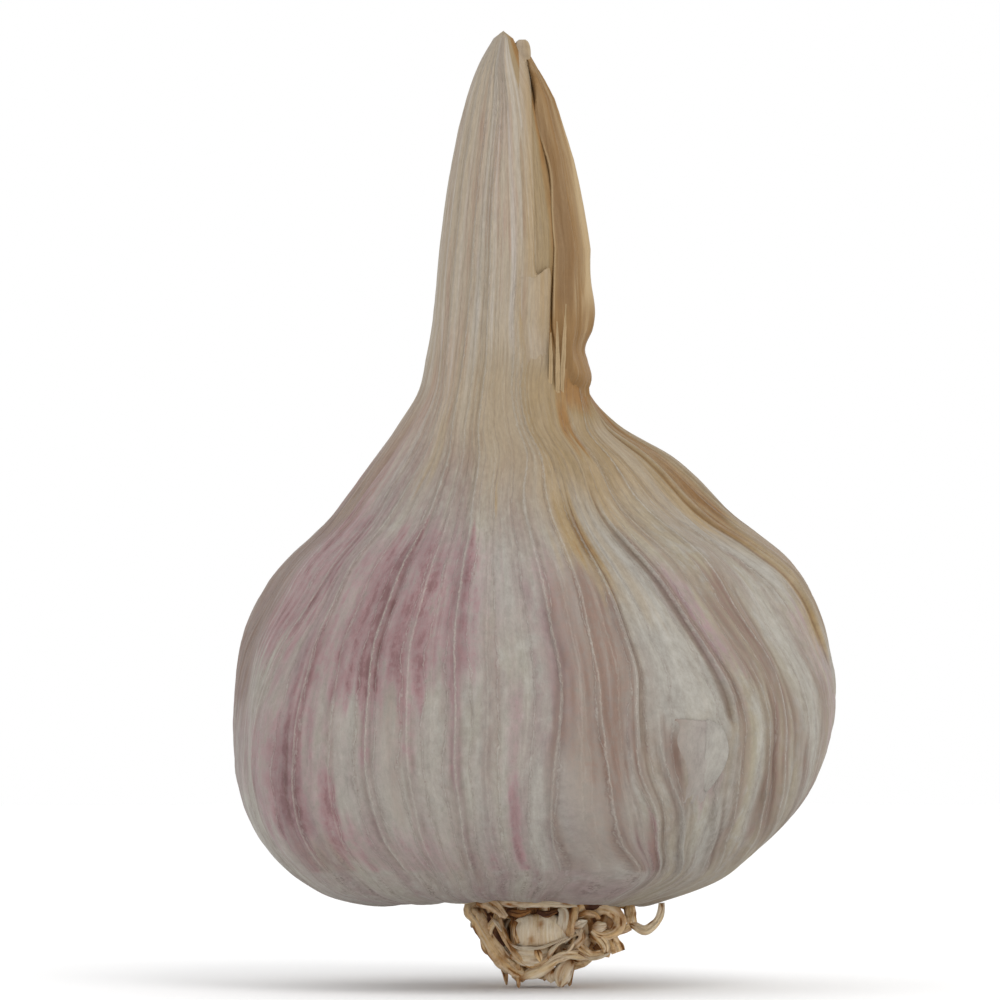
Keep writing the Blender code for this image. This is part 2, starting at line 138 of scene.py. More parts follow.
# --- Ridges of the neck: azimuth and strength ---
NECK_RIDGES = [(-72, .5), (-58, .9), (-46, .8), (-37, .4), (-28, .9), (-20, .7), (-12, 1), (-2, .3),
               (7, .5)]
NECK_RIDGE = 0.24
NECK_RIDGE_HALF_WIDTH = 0.42

# --- Window: the outer skin is missing here, and a paler skin shows a little lower ---
WINDOW = (19.6, 35.2)
WINDOW_HEIGHTS = (24.5, 44.0)
WINDOW_DEPTH = 0.42

# --- Overlap: the crisp front edge of the outer skin of the right side ---
OVERLAP_VEIN = 77.0
OVERLAP_HEIGHTS = (31.0, 50.0)
OVERLAP_STEP = 0.32
OVERLAP_LIP = 0.16

# --- Front skin's folded edge on the neck: height, left and right edge across, in millimetres ---
NECK_STRIP = [(50, -.6, 1.3), (54, -1, 1.35), (59, -1.4, 1.45), (62, -1.5, 1.5), (64.3, -1.55, 1.45),
              (64.8, -1.56, .15), (70, -1.65, .05), (75, -1.7, -.05), (80, -1.75, -.22), (83, -1.8, -.34),
              (85, -1.75, -.36), (85.8, -1.55, -.55), (86.1, -1.25, -.8)]
STRIP_RISE = 0.50
STRIP_THICKNESS = 0.30
STRIP_ROWS = 130
STRIP_COLUMNS = 22
STRIP_AZIMUTHS = (8.0, 15.0, 38.0, 46.0)
STRIP_TEAR = (64.6, 0.9)  # height of the tear across its right half, and how far the tear slants up
RECESS = (24.0, 27.0)     # the neck is browner from here round to under the sheath, as azimuths

# --- Streaks of colour: vein, half width in degrees, lowest and highest place, strength ---
# a vein given as a pair leans from the first, at the foot, to the second, at the top
BLUSH = [(-35, 11, 27, 42, .46), (-23, 15, 28, 41, .34), (-32.6, 4.4, 28, 40.5, .7),
         (-33.4, 1.9, 30, 37.5, .6), (-32.5, 2, 21, 30, .34), (-23.4, 1.9, 27, 39.5, .62),
         (-24.5, 1.4, 20, 28, .4), (-18.5, 2, 31, 38.5, .32), (-14.6, 2.1, 29, 40.5, .6),
         (-15.5, 1.1, 19, 30, .38), (-52, 8.5, 13, 26, .52), (-50.6, 3.4, 14.5, 23, .8),
         (-51.3, 1.6, 15.5, 20.5, .6), (-48.6, 2.2, 23, 31.5, .62), (-50.5, 1.5, 9.5, 16, .6),
         (-41.8, 1.5, 11.5, 19.5, .85), (-38, 1.6, 10, 14.5, .45), (-3.8, 1.3, 8.5, 18.5, .66),
         (-4, 1.2, 18, 28, .42), (-66, 10, 31, 44, .6), (-67, 1.2, 31, 38, .35), (-57, 2.5, 28, 42, .4),
         (-46, 13, 27, 40, .26), (-10, 2, 8, 12, .3), (14, 1.2, 9, 14, .35), (73, 6, 22, 36, .3),
         (30.5, 2.6, 17.5, 23.8, .3), (-30, 26, 9, 28, .08), (5, 3, 26, 40, .3), (-27, 12, 9, 15, .22),
         (38.2, 3.4, 29, 38, .4), ((17, 18.2), 1.2, 8.5, 16, .6), (-72, 5, 18, 27, .3),
         (-77, 11, 40, 54, .85), (29, 1.6, 18.5, 24, .4)]
# the wide entries at veins -86 and -79 (half widths 11 and 9) darken the left side towards its outline:
# painted shade as well as umber streaks
UMBER = [(11.5, 6.5, 20, 38.5, .85), (4, .9, 13, 36, .65), (7.2, 2, 17, 37, .5), (11.8, 1.1, 24, 35, .8),
         ((11.5, 16.3), 2.6, 17, 38.5, .85), (18.6, .8, 18, 43, .95), (36.6, .8, 25, 42, .8),
         ((38.6, 37.6), 1.6, 12, 28, .7), ((46, 50.2), 2, 14, 38, .9), ((50.2, 53.4), 1.3, 19, 34, .75),
         ((57, 46.8), 2.2, 20, 36, .5), (50.5, 4.4, 31.5, 39, .5), (44, 2.6, 28.5, 36, .65),
         ((60, 58), 1.2, 12, 23, .6), (67.5, 3.2, 15, 28, .55), ((58, 57), 2.4, 34, 42, .4),
         (24.4, 1.6, 17, 24.2, .7), (12.5, 2.8, 9.5, 16.5, .5), (17.5, .9, 8.5, 15, .8),
         (5, 1.2, 9.5, 14, .45), (-17, 5, 7.5, 10.5, .5), (-47, 7, 8.5, 13, .45), (-80, 6, 25, 42, .6),
         (-79, 2, 27, 37, .4), (85, 7, 33, 49, .55), (42, 1.2, 36, 44, .45), (-8.5, 1.6, 18, 34, .3),
         (-28, 2, 16, 27, .3), (30, 9, 8.5, 12, .3), (-86, 11, 27, 43, .95), (-79, 9, 41, 56, .9),
         (92, 10, 32, 44, .45), (84, 10, 41, 54, .95), (48.5, 2.5, 13, 21, .6), (9.5, 2.4, 10, 17, .5)]
# the wide low entries at veins 7 and 30 lighten the lower front: painted light
PALE = [(27.4, 7.4, 24.5, 43, 1), (-11.5, 1.9, 27, 41, .85), (-37.5, 2.6, 14, 29, .65),
        (-72, 8, 9, 24, .65), (-5.5, 2.6, 34, 41, .7), (-5.5, 1.2, 17, 26, .5), (.5, 1.7, 8.5, 21, .7),
        ((82, 66), 3.6, 28, 42.5, .9), ((60, 60.5), 4.4, 18, 37, .75), ((43.6, 42), 1.4, 13, 27, .75),
        (33.4, 1.3, 24.5, 31, .9), (31.5, 2.4, 17.5, 24, .6), ((27, 22.5), 1.2, 8, 24, .95),
        (52.5, 1.4, 9, 22, .5), ((37.5, 35.5), .9, 9, 23, .8), (-27, 3, 33, 38, .3),
        (-45, 1.5, 22, 40, .35), (-58, 3.5, 40, 56, .5), (-36, 3, 46, 58, .35), (9, 1.4, 17, 21, .3),
        (-28.5, 3.6, 12, 25, .75), (-20, 2.4, 9, 26, .4), (-10.5, 2.2, 9, 22, .45), (34, 5, 9, 18, .75),
        (-62, 3, 9, 20, .4), (20, 4, 9, 13, .3), (7, 8, 8.5, 22, .42), (4.6, 2.2, 12, 23, .5),
        (35.5, 3, 10, 18, .5), (30, 7, 9, 20, .3), ((25, 30), 4.6, 36, 45, .9)]
TOAST = [(-41, 5, 46, 53, .35), (-7, .8, 43.5, 46.5, .6), (14, 1.2, 37.5, 43.5, .4),
         (21, 2.6, 38, 50, .5), (38, 2.4, 41.5, 45, .6), (31, 4, 44, 52, .3), (47, 5, 44, 52, .45),
         (27, 2, 34, 45, .25), (15, 5, 38.5, 46, .58), (19.5, 3.4, 35, 43, .58),
         ((81, 86), 12, 41.5, 55.5, .9), ((76, 82), 4, 31, 43, .75), (39, 5, 48, 60, .95),
         (29, 1.6, 47, 55, .6), (-78, 8, 42, 55, .18)]
STREAK_FADE = 1.6         # how softly a streak ends, along its vein
STREAK_RAGGED = 0.35
STREAK_POWER = 2.6        # how flat a streak is across
# streaks drawn at random for the sides and the back, between these veins, and these long: seed, count,
# range of their feet, of their strengths and of their half widths
SIDES_AND_BACK = (86.0, 276.0)
SCATTERED_LENGTH = (5.0, 16.0)
SCATTERED = {"blush": (51, 34, (12, 34), (.3, .9), (.8, 3.5)),
             "umber": (52, 30, (10, 34), (.3, .8), (.8, 3)),
             "pale": (53, 26, (9, 36), (.4, .8), (1, 4))}

# --- Neck sheath, as in the part's source, with its front edge a little further round ---
SHEATH_FRONT = 42.0
SHEATH_BACK = 200.0
SHEATH_GAP = 0.50
SHEATH_THICKNESS = 0.7
# height of its top and of its foot at each azimuth, and azimuth of its front edge at each height
SHEATH_TOP = [(42, 84.4), (56, 85.6), (75, 84.2), (110, 80.5), (150, 75.5), (200, 68.5)]
SHEATH_FOOT = [(42, 56.6), (50, 55.2), (58, 53.8), (74, 53.2), (92, 54.6), (110, 57), (150, 57.8),
               (200, 60)]
SHEATH_EDGE = [(52, 42), (62, 42), (70, 45.5), (74, 49), (77, 46), (79, 45), (81, 48.8), (83, 56.5),
               (84.5, 71), (86, 85)]
SHEATH_WAIST = (57.4, 60.2)  # its right side lies on the skin below the first, stands off above the second
# height and half height, azimuth and half width, rise
SHEATH_FLARES = [(61.4, 2.4, 88, 26, .55), (69.5, 7, 90, 30, .26)]
SHEATH_ROWS = 110
SHEATH_COLUMNS = 190
# ridge or valley: azimuth, half width in degrees, lowest and highest place, height
SHEATH_RELIEF = [(43, 1.2, 56, 86, .08), (49, 5, 60, 82, -.26), (56, 2, 56, 84, .14),
                 (64, 2.2, 56, 84, -.12), (78, 1.8, 57, 84, .28), (86, 2.2, 57, 84, -.14),
                 (92, 2.4, 55, 82, .16), (104, 3, 55, 81, -.14), (117, 2.8, 55, 80, .22),
                 (131, 4, 56, 78, -.18), (145, 2.6, 56, 76, .18), (160, 3.4, 57, 75, -.16),
                 (174, 2.6, 58, 73, .2), (188, 3.2, 59, 70, -.14)]
# wrinkles as noise: seed, degrees, length, rise
SHEATH_WRINKLES = [(64, 3.2, 9.0, .09), (65, 1.4, 4.0, .045), (66, 0.8, 1.2, .02)]

# --- Slivers of leaf at the sheath's foot: places as (azimuth, height, out), and widths ---
SPLINTERS = [([(32.6, 52.6, -1.5), (34, 56.6, .3), (35.2, 59.4, .8)], (.34, .38, .06)),
             ([(37, 52.0, -1.7), (38.6, 56.8, .6), (39.4, 60.4, 1.15)], (.34, .40, .06)),
             ([(41.0, 52.2, -1.6), (43, 57.0, .7), (44.8, 62.0, 1.55)], (.32, .42, .08))]

# --- Torn skin under the window, as (azimuth, height) from the top down ---
TORN_ROWS = 40
TORN_COLUMNS = 30
TORN_THICKNESS = 0.09
PANEL_LEFT = [(27.5, 24.8), (26.3, 22.8), (29.0, 20.8), (31.0, 18.9), (31.6, 17.3)]
PANEL_RIGHT = [(35.8, 24.5), (35.9, 22.8), (36.4, 21.2), (37.4, 19.3), (37.8, 17.0)]
FLAP_LEFT = [(33.4, 24.5), (34.1, 22.9), (34.5, 21.4), (35.3, 19.9), (36.4, 18.5)]
FLAP_RIGHT = [(33.9, 24.7), (37.0, 23.7), (38.6, 21.9), (38.2, 20.1), (36.9, 18.3)]

# --- Root tuft, as in the part's source: the plate, the core, the feet and the roots drawn at random ---
PLATE_CENTRE = (1.2, 0.0)
PLATE_PROFILE = [(0.05, 5.9), (5.4, 6.3), (6.6, 7.1), (6.9, 7.8), (6.4, 8.35), (3.4, 9.45), (0.05, 9.7)]
PLATE_HOLLOW = (0.36, 52.0)  # the plate's front is cut back this share, over this many degrees
PLATE_RING = 6.9
PLATE_ROWS = 26
PLATE_COLUMNS = 120
CORE_CENTRE = (0.4, 0.1)
CORE_STRANDS = 9
CORE_LINE = [(6.4, 3.4), (4.0, 3.0), (1.8, 2.5), (0.9, 2.1)]  # height and reach
FEET = [(-1.5, -3.3), (-2.6, 3.3), (3.1, 0.6)]
FOOT_LINE = [(1.1, 1.1, 6.6), (1.2, 1.1, 4.0), (1.1, 1.05, 1.8), (1.0, 1.0, 0.03)]  # shares and height
FILL_STRANDS = 24
FILL_FRONT = 40.0
FILL_SEED = 5
FILL_TOP = 7.3
THREADS = 46              # finer roots among them
THREAD_SEED = 71

# --- The ribbons of root that show most: centre line, widths along it, thickness, bend of the section in
# degrees (its sides turn away from the front), bleached share, brown share, and its roll at both ends if any
# brown shares of 0.6 and more make dark ribbons laid in the gaps and seams between roots: painted shade
RIBBONS = [
    ([(-3.8, -.8, 8), (-5.7, -1.8, 7.3), (-5.15, -2.8, 6.1), (-4.35, -3.4, 4.6), (-3.3, -3.6, 3),
      (-2.1, -3.6, 1.9), (-1, -3.6, 1.15)], (1, 1.5, 1.5, 1.5, 1.6, 1.3, .9), .45, 70, .15, .15, 20, -10),
    ([(-4, -1.2, 8.1), (-6, -1.6, 7.85), (-7.2, -1.7, 7.75)], (.9, .7, .1), .2, 30, .5, 0, 30, 30),
    ([(-1.4, -3.5, .9), (-.3, -3.8, 1.45), (.7, -3.9, 1.95), (2, -4.1, 2.75), (3.2, -4.1, 3.1),
      (4.4, -4, 3), (5.6, -3.9, 2.95)], (.5, 1.2, 1.3, 1, .9, .9, .5), .4, 90, .4, 0, -10, 10),
    ([(-2.4, -2, 7.8), (-3.4, -3.3, 6.5), (-2.9, -4.1, 5), (-2.3, -4.4, 3.9), (-1.5, -4.5, 2.75),
      (-.4, -4.5, 2.1), (.8, -4.4, 2.5), (1.6, -4.3, 3.5), (2.2, -4.3, 4.2)],
      (.8, .8, .7, .6, .6, .5, .4, .35, .3), .35, 80, .15, .22, 10, 0),
    ([(-4.1, -3.5, 6.6), (-3.5, -4.2, 5.95), (-3.05, -4.5, 5.2)], (.1, .36, .1), .18, 60, .9, 0),
    ([(-2.2, -4, 3.3), (-1.2, -4.3, 3.05), (0, -4.4, 3), (1.3, -4, 3.3)], (1.1, 1.7, 1.8, 1.1),
      .3, -40, .7, 0),
    ([(.15, -4.6, 3.6), (.3, -4.7, 3.1), (.5, -4.6, 2.5)], (.5, .7, .3), .2, 40, 0, 0),
    ([(-2.35, -4.7, 4.1), (-1.45, -4.85, 3.72), (.3, -4.9, 3.72), (1.6, -4.8, 4.15), (2.95, -4.6, 4.7)],
      (.15, .28, .3, .3, .2), .22, 60, .9, 0),
    ([(.5, -4, 6.7), (.5, -4.5, 6.2), (.5, -4.7, 5.2), (.6, -4.3, 3.9)], (4.4, 4.5, 4.6, 4.3),
      .8, 75, .72, 0),
    ([(2.2, -4, 4.7), (2.45, -4.7, 5.8), (2.5, -4.7, 6.9), (2.15, -4.6, 7.35)], (.7, .9, .9, .4),
      .25, 50, 1, 0),
    ([(-1.65, -4, 6.5), (-1.8, -4.3, 5.2), (-1.6, -4.4, 4.1)], (.3, .6, .4), .25, 60, .05, .25),
    ([(-3.9, -2.9, 6.9), (-3.6, -3.3, 5.4), (-2.7, -3.6, 3.9)], (1, 1.3, 1), .3, 60, 0, .9),
    ([(-1.1, -3.4, 8.2), (-1.05, -4.4, 7.4), (-.95, -4.2, 6.5)], (1.4, 1.3, 1.1), .3, 50, .6, .1),
    ([(.9, -3.4, 8.2), (.95, -4.5, 7.5), (1, -4.3, 6.6)], (.7, .7, .6), .3, 50, .6, .1),
    ([(3.2, -3.2, 8.2), (3.35, -4.4, 7.3), (3.15, -4.3, 5.6), (3, -4, 4.6)], (1.2, 1.2, 1, .8),
      .3, 60, .25, .2),
    ([(-3.3, -3, 8.1), (-3.4, -4.2, 7.3), (-3.1, -4.3, 6.5)], (.4, .4, .3), .25, 50, .5, 0),
    ([(2.9, -2.4, 7.3), (4.5, -3.7, 7.4), (6.1, -4.2, 7.3), (7.3, -4, 6.8), (7.65, -3.9, 5.8),
      (7, -4.1, 5.05), (5.9, -4.4, 4.85), (5.1, -4.5, 5.3)], (.8, 1.1, 1.2, 1.2, 1.2, 1, .8, .4),
      .35, 80, .3, .15),
    ([(3.35, -4.1, 5.4), (4, -4.6, 5.85), (4.7, -4.4, 6.15)], (.3, .95, .2), .3, 80, .9, 0, 0, 20),
    ([(5.1, -4.3, 5.5), (5.8, -4.7, 5.6), (6.45, -4.4, 5.75)], (.5, 1.1, .6), .4, 100, .8, 0),
    ([(3.7, -4.2, 6.5), (4.6, -4.6, 6.9), (5.4, -4.6, 6.75), (5.8, -4.4, 6.3)], (.3, .5, .5, .3),
      .25, 60, .2, .3),
    ([(6.6, -1.6, 8), (8.3, -2.2, 7.6), (8.6, -2.5, 6.7), (8.8, -2.6, 5.9)], (1.2, 1.2, 1.1, .9),
      .3, 30, 0, .15),
    ([(8.5, -2.3, 5.9), (9.1, -2.4, 5.6), (9.9, -2.5, 5.25), (10.6, -2.35, 5.6), (11.2, -2, 6.3),
      (11.45, -1.8, 7.1), (11.45, -1.7, 7.7)], (.8, .8, .9, .85, .8, .7, .6), .18, 20, .6, 0),
    ([(6.6, -2, 5.1), (7.6, -2.3, 5.15), (8.6, -2.4, 5.6)], (.7, .8, .7), .3, 40, .2, 0),
    ([(5.9, -3, 5.5), (6.8, -3.6, 4.8), (7.2, -3.8, 4.1), (7.5, -3.8, 3.3)], (.7, 1, 1.2, 1.4),
      .25, 20, 0, .12),
    ([(3, -3, 4.6), (4, -3.9, 3.8), (5, -4.2, 3.05), (6.2, -4.1, 3.25)], (.8, 1, .9, .7),
      .35, 70, .2, .05),
    ([(3.9, -4.3, 3.3), (5, -4.5, 2.75), (6, -4.5, 2.9), (6.7, -4.4, 3.25)], (.2, .3, .3, .12),
      .22, 40, .9, 0),
    ([(4.9, -3.6, 5.1), (5.75, -4.3, 4.6), (6.3, -4.5, 3.9), (6.35, -4.4, 3.3)], (.6, .9, .9, .7),
      .3, 70, .2, 0),
    ([(3.2, -3.2, 2.7), (2.75, -3.6, 1.9), (2.4, -3.8, 1), (2.2, -3.7, .15)], (.8, 1.6, 1.7, .5),
      .35, 50, .7, 0),
    ([(1.5, -3.6, 1.8), (1.3, -3.7, 1.2), (1.6, -3.7, .6)], (.8, 1, .5), .3, 50, .7, 0),
    ([(1.1, -4.7, 2.7), (1.35, -4.9, 3.4), (2, -4.9, 4), (3.1, -4.6, 4.6)], (.2, .3, .25, .2),
      .2, 60, .8, 0),
    ([(-3.6, -4.2, 7.9), (-.8, -4.9, 7.95), (1.6, -4.9, 7.9), (3.8, -4.4, 7.8)], (.9, 1.1, 1.1, .8),
      .35, 60, .75, 0),
    ([(-2.6, -4.3, 7.1), (-1.5, -4.7, 6.8), (-.4, -4.75, 7.1)], (.35, .7, .3), .25, 60, 0, .6),
    ([(.1, -4.75, 7.05), (1, -4.8, 6.75), (2.1, -4.5, 7.1)], (.3, .62, .25), .25, 60, 0, .75),
    ([(5.5, -3.5, 4), (6.1, -3.8, 3.4), (6.8, -3.8, 3.15)], (.8, 1.1, .7), .3, 50, .1, .25),
    ([(-5.2, -3.6, 8.2), (-3.8, -4.4, 7.5), (-2.6, -4.6, 6.5)], (1.3, 1.1, .4), .25, 60, .45, .15),
    ([(6.4, -2.6, 6.2), (5.9, -2.9, 5), (5.3, -3.1, 4)], (2, 2.4, 2), .5, 60, .2, .15),
    ([(5, -2.4, 4.8), (5.7, -2.9, 3.8), (6.2, -3.2, 3.3)], (1.8, 2.2, 1.2), .4, 60, .1, .3),
    ([(3.4, -3.6, 8.3), (4.8, -4.3, 7.7), (6.2, -4.2, 7.9), (7.4, -3.6, 8.2)], (.8, 1.1, 1, .7),
      .3, 60, 0, 1),
    ([(3, -2.2, 8.2), (4.5, -2.8, 6.8), (5.4, -3, 5.4), (5.6, -2.9, 4.2)], (2.4, 2.6, 2.4, 1.6),
      .5, 60, .1, .35),
    ([(5.9, -2.2, 8.2), (6.6, -2.9, 7), (6.2, -3.1, 5.6)], (2, 2.2, 1.8), .5, 60, .1, .35),
]
RIBBON_ACROSS = 11
RIBBON_STEP = 0.2
RIBBON_FEWEST, RIBBON_MOST = 8, 70  # steps along a ribbon
RIBBON_SEED = 200
GROUND = 0.02             # no root goes lower

# --- Colours, as sRGB shares of 255 ---
PALETTE = {"parchment": (145, 136, 129), "pale": (155, 151, 143), "white": (166, 163, 156),
           "greenish": (141, 136, 126), "straw": (146, 136, 110), "mauve": (145, 125, 124),
           "pink": (132, 103, 104), "wine": (114, 86, 86), "ivory": (160, 147, 129),
           "ivory_pink": (154, 132, 115), "umber": (125, 105, 94), "tan": (149, 132, 107),
           "fold": (154, 132, 99), "ochre": (143, 122, 88), "brown": (139, 104, 62),
           "dark_brown": (104, 76, 48), "soot": (86, 66, 60), "leaf": (143, 115, 79),
           "leaf_dark": (116, 88, 55), "leaf_pale": (184, 162, 126), "leaf_low": (137, 105, 64),
           "root": (243, 205, 140), "root_brown": (164, 114, 62), "root_dark": (74, 42, 26),
           "root_pale": (244, 236, 220)}

# --- Noise along the grain: stretch, scale, detail, roughness ---
SKIN_NOISES = {"cloud": (.4, .45, 4, .6), "patch": (.7, .9, 3, .6), "fibre": (.06, 2.2, 4, .65),
               "mottle": (.6, 1.7, 6, .75), "speck": (.7, 4.5, 3, .7), "bead": (.8, 2.2, 3, .6),
               "stripe": (.03, .46, 2, .5)}
LEAF_NOISES = {"fibre": (.05, 3, 4, .65), "blotch": (.3, .55, 3, .55), "mottle": (.6, 3.5, 4, .7)}
ROOT_NOISES = {"fibre": (.12, 3.2, 4, .65), "mottle": (1, 1.3, 4, .7)}
SKIN_BUMP = 0.00013       # heights of the bumps, in metres
LEAF_BUMP = 0.00012
ROOT_BUMP = 0.0002
SKIN_RING = 25.0          # radius of the tube that the skin's grain is laid round
LEAF_RING = 12.0

# --- Stage, in metres ---
FLOOR_RADIUS = 0.6
FLOOR_SIDES = 96
FLOOR_WHITE = (0.965, 0.965, 0.965, 1.0)
KEY_LIGHT = {"place": (0.35, -0.60, 0.70), "aim": (0.0, 0.0, 0.04), "size": 0.5, "power": 2.5}
CAMERA_DISTANCE = 1.0
CAMERA_SHIFT = (-0.0032, 0.0008)  # across, and up from the middle of the head
SENSOR_WIDTH = 36.0
VIEW_WIDTH = 0.0909


def ease(low, high, value):
    """0 at low, 1 at high, eased between; high may be the smaller one."""
    share = np.clip((np.asarray(value, float) - low) / (high - low), 0, 1)
    return share * share * (3 - 2 * share)


def plateau(value, low, full, end, high):
    """1 from full to end, eased down to 0 at low and at high."""
    return ease(low, full, value) * ease(high, end, value)


def bell(away, power=2):
    """1 at 0 and falling off on both sides."""
    return np.exp(-np.abs(away) ** power)


def spline(knots, values, at):
    """Values at the places 'at' on a smooth curve through the given knots."""
    knots, values = np.asarray(knots, float), np.asarray(values, float)
    slopes = np.gradient(values, knots, axis=0)
    span = np.clip(np.searchsorted(knots, at, side="right") - 1, 0, len(knots) - 2)
    width = knots[span + 1] - knots[span]
    share = np.clip((at - knots[span]) / width, 0, 1)
    if values.ndim > 1:
        share, width = share[:, None], width[:, None]
    rise = share * share * (3 - 2 * share)
    leave = share * (1 - share) ** 2 * width
    arrive = share * share * (share - 1) * width
    return (values[span] * (1 - rise) + values[span + 1] * rise
            + slopes[span] * leave + slopes[span + 1] * arrive)


def even_spline(values, count):
    """'count' rows along a smooth curve through values set at even steps."""
    knots = np.arange(len(values), dtype=float)
    return spline(knots, np.array(values, float), np.linspace(0, knots[-1], count))


def column_share(count):
    """0 to 1 across one row."""
    return np.linspace(0, 1, count)[None, :]


def row_share(count):
    """0 to 1 down one column."""
    return np.linspace(0, 1, count)[:, None]


def angle_between(azimuth, other):
    """Signed difference in degrees, from -180 to 180."""
    return (np.asarray(azimuth, float) - other + 180) % 360 - 180


class Noise:
    """Smooth seeded noise from -1 to 1 over (azimuth, height), which meets itself round the head."""

    LEVELS, START = 256, 64

    def __init__(self, seed, degrees, length):
        self.cells = max(3, int(round(360 / degrees)))
        self.length = length
        self.grid = np.random.default_rng(seed).uniform(-1, 1, (self.cells, self.LEVELS))

    def __call__(self, azimuth, height):
        u = (np.asarray(azimuth, float) % 360) / 360 * self.cells
        v = np.asarray(height, float) / self.length + self.START
        u, v = np.broadcast_arrays(u, v)
        i, j = np.floor(u).astype(int), np.floor(v).astype(int)
        s, t = ease(0, 1, u - i), ease(0, 1, v - j)
        i, k, j, m = i % self.cells, (i + 1) % self.cells, j % self.LEVELS, (j + 1) % self.LEVELS
        low = self.grid[i, j] * (1 - s) + self.grid[k, j] * s
        high = self.grid[i, m] * (1 - s) + self.grid[k, m] * s
        return low * (1 - t) + high * t


# ------------------------------------------------------------------ meshes

def place_object(name, data):
    """An object in the scene, made from a mesh, a light or a camera."""
    made = bpy.data.objects.new(name, data)
    bpy.context.scene.collection.objects.link(made)
    return made


def make_mesh(name, material, points, faces, attributes, uvs=None):
    """A smooth-shaded object from points in millimetres, with point attributes and, if given, a UV map."""
    mesh = bpy.data.meshes.new(name)
    mesh.from_pydata((np.asarray(points) * MM).tolist(), [], [list(face) for face in faces])
    if uvs is not None:
        layer = mesh.uv_layers.new(name="OFBake")
        layer.data.foreach_set("uv", np.asarray(uvs, np.float32).ravel())
    for label, values in attributes.items():
        values = np.asarray(values, np.float32)
        kind, field = ("FLOAT_VECTOR", "vector") if values.ndim == 2 else ("FLOAT", "value")
        mesh.attributes.new(label, kind, "POINT").data.foreach_set(field, values.ravel())
    mesh.shade_smooth()
    mesh.validate()
    mesh.update()
    mesh.materials.append(material)
    return place_object(name, mesh)


def grid_faces(rows, columns, closed):
    """Quads between neighbouring rows of points, and each corner's (column, row) for a UV map."""
    count = columns if closed else columns - 1
    i, j = (part.ravel() for part in np.meshgrid(np.arange(rows - 1), np.arange(count), indexing="ij"))
    k = (j + 1) % columns
    faces = np.stack([i * columns + j, i * columns + k, (i + 1) * columns + k, (i + 1) * columns + j], 1)
    places = [np.stack(corner, 1) for corner in ((j, i), (j + 1, i), (j + 1, i + 1), (j, i + 1))]
    return faces, np.stack(places, 1)


def tube_faces(rows, columns):
    """Faces of a closed tube of points with a cap on both ends."""
    caps = [tuple(range(columns - 1, -1, -1)), tuple(range((rows - 1) * columns, rows * columns))]
    return grid_faces(rows, columns, closed=True)[0].tolist() + caps


def leaf_shell(name, material, outer, inner, masks):
    """A closed thin leaf between two grids of points. A mask lies on both sheets, or is a pair for them."""
    rows, columns = outer.shape[:2]
    points = np.concatenate([outer.reshape(-1, 3), inner.reshape(-1, 3)])
    faces, _ = grid_faces(rows, columns, closed=False)
    shift = rows * columns
    rim = [(0, j) for j in range(columns)] + [(i, columns - 1) for i in range(1, rows)]
    rim += [(rows - 1, j) for j in range(columns - 2, -1, -1)] + [(i, 0) for i in range(rows - 2, 0, -1)]
    loop = [i * columns + j for i, j in rim]
    sides = [(b, a, a + shift, b + shift) for a, b in zip(loop, loop[1:] + loop[:1])]
    attributes = {}
    for label, mask in masks.items():
        shape = outer.shape if label == "grain" else outer.shape[:2]
        sheets = mask if isinstance(mask, tuple) else (mask, mask)
        sheets = [np.broadcast_to(sheet, shape).reshape(-1, *shape[2:]) for sheet in sheets]
        attributes[label] = np.concatenate(sheets)
    faces = faces.tolist() + (faces[:, ::-1] + shift).tolist() + sides
    return make_mesh(name, material, points, faces, attributes)


def grain_round(azimuth, along, ring):
    """Places for a material's textures, laid round an upright tube so that they meet at the back."""
    turn = np.radians(azimuth)
    return np.stack(np.broadcast_arrays(ring * np.sin(turn), -ring * np.cos(turn), along), -1)


def row_normals(points):
    """Outward directions of a closed grid of points, from its neighbours round and along."""
    round_way = np.roll(points, -1, axis=1) - np.roll(points, 1, axis=1)
    normals = np.cross(round_way, np.gradient(points, axis=0))
    return normals / np.maximum(np.linalg.norm(normals, axis=2, keepdims=True), 1e-9)


# ------------------------------------------------------------------ the skin

def depth_ratio(height):
    """Front-to-back depth of the head as a share of its width."""
    return BELLY_DEPTH + (NECK_DEPTH - BELLY_DEPTH) * ease(SHOULDER, NECK_BASE + 8, height)


def clove_lobes(azimuth, height):
    """How far the furrows between cloves dip below the plain round of the head."""
    dip = np.zeros(np.broadcast(azimuth, height).shape)
    for place, depth in FURROWS:
        away = np.sqrt(angle_between(azimuth, place) ** 2 + FURROW_SOFTNESS ** 2)
        dip += depth * np.clip(1 - away / FURROW_SPAN, 0, None) ** 2
    return -dip * ease(NECK_BASE, SHOULDER, height)


def skin_columns():
    """The columns' veins, from -180 to 180, closer together at the front."""
    fine = np.linspace(-180, 180, 7201)
    density = 1 + (FRONT_DENSITY - 1) * ease(FRONT_EDGE[1], FRONT_EDGE[0], np.abs(fine))
    share = np.concatenate([[0], np.cumsum((density[1:] + density[:-1]) / 2)])
    return np.interp(np.arange(SKIN_COLUMNS) / SKIN_COLUMNS, share / share[-1], fine)


def vein_azimuths(veins, heights):
    """Azimuth of each column's vein at each height: rows of heights, columns of veins."""
    keys = sorted(VEIN_PATHS)
    at = np.clip(heights, VEIN_HEIGHTS[0], VEIN_HEIGHTS[-1])
    paths = np.array([spline(VEIN_HEIGHTS, VEIN_PATHS[key], at) for key in keys])
    return np.array([np.interp(veins, keys, paths[:, row]) for row in range(len(heights))])


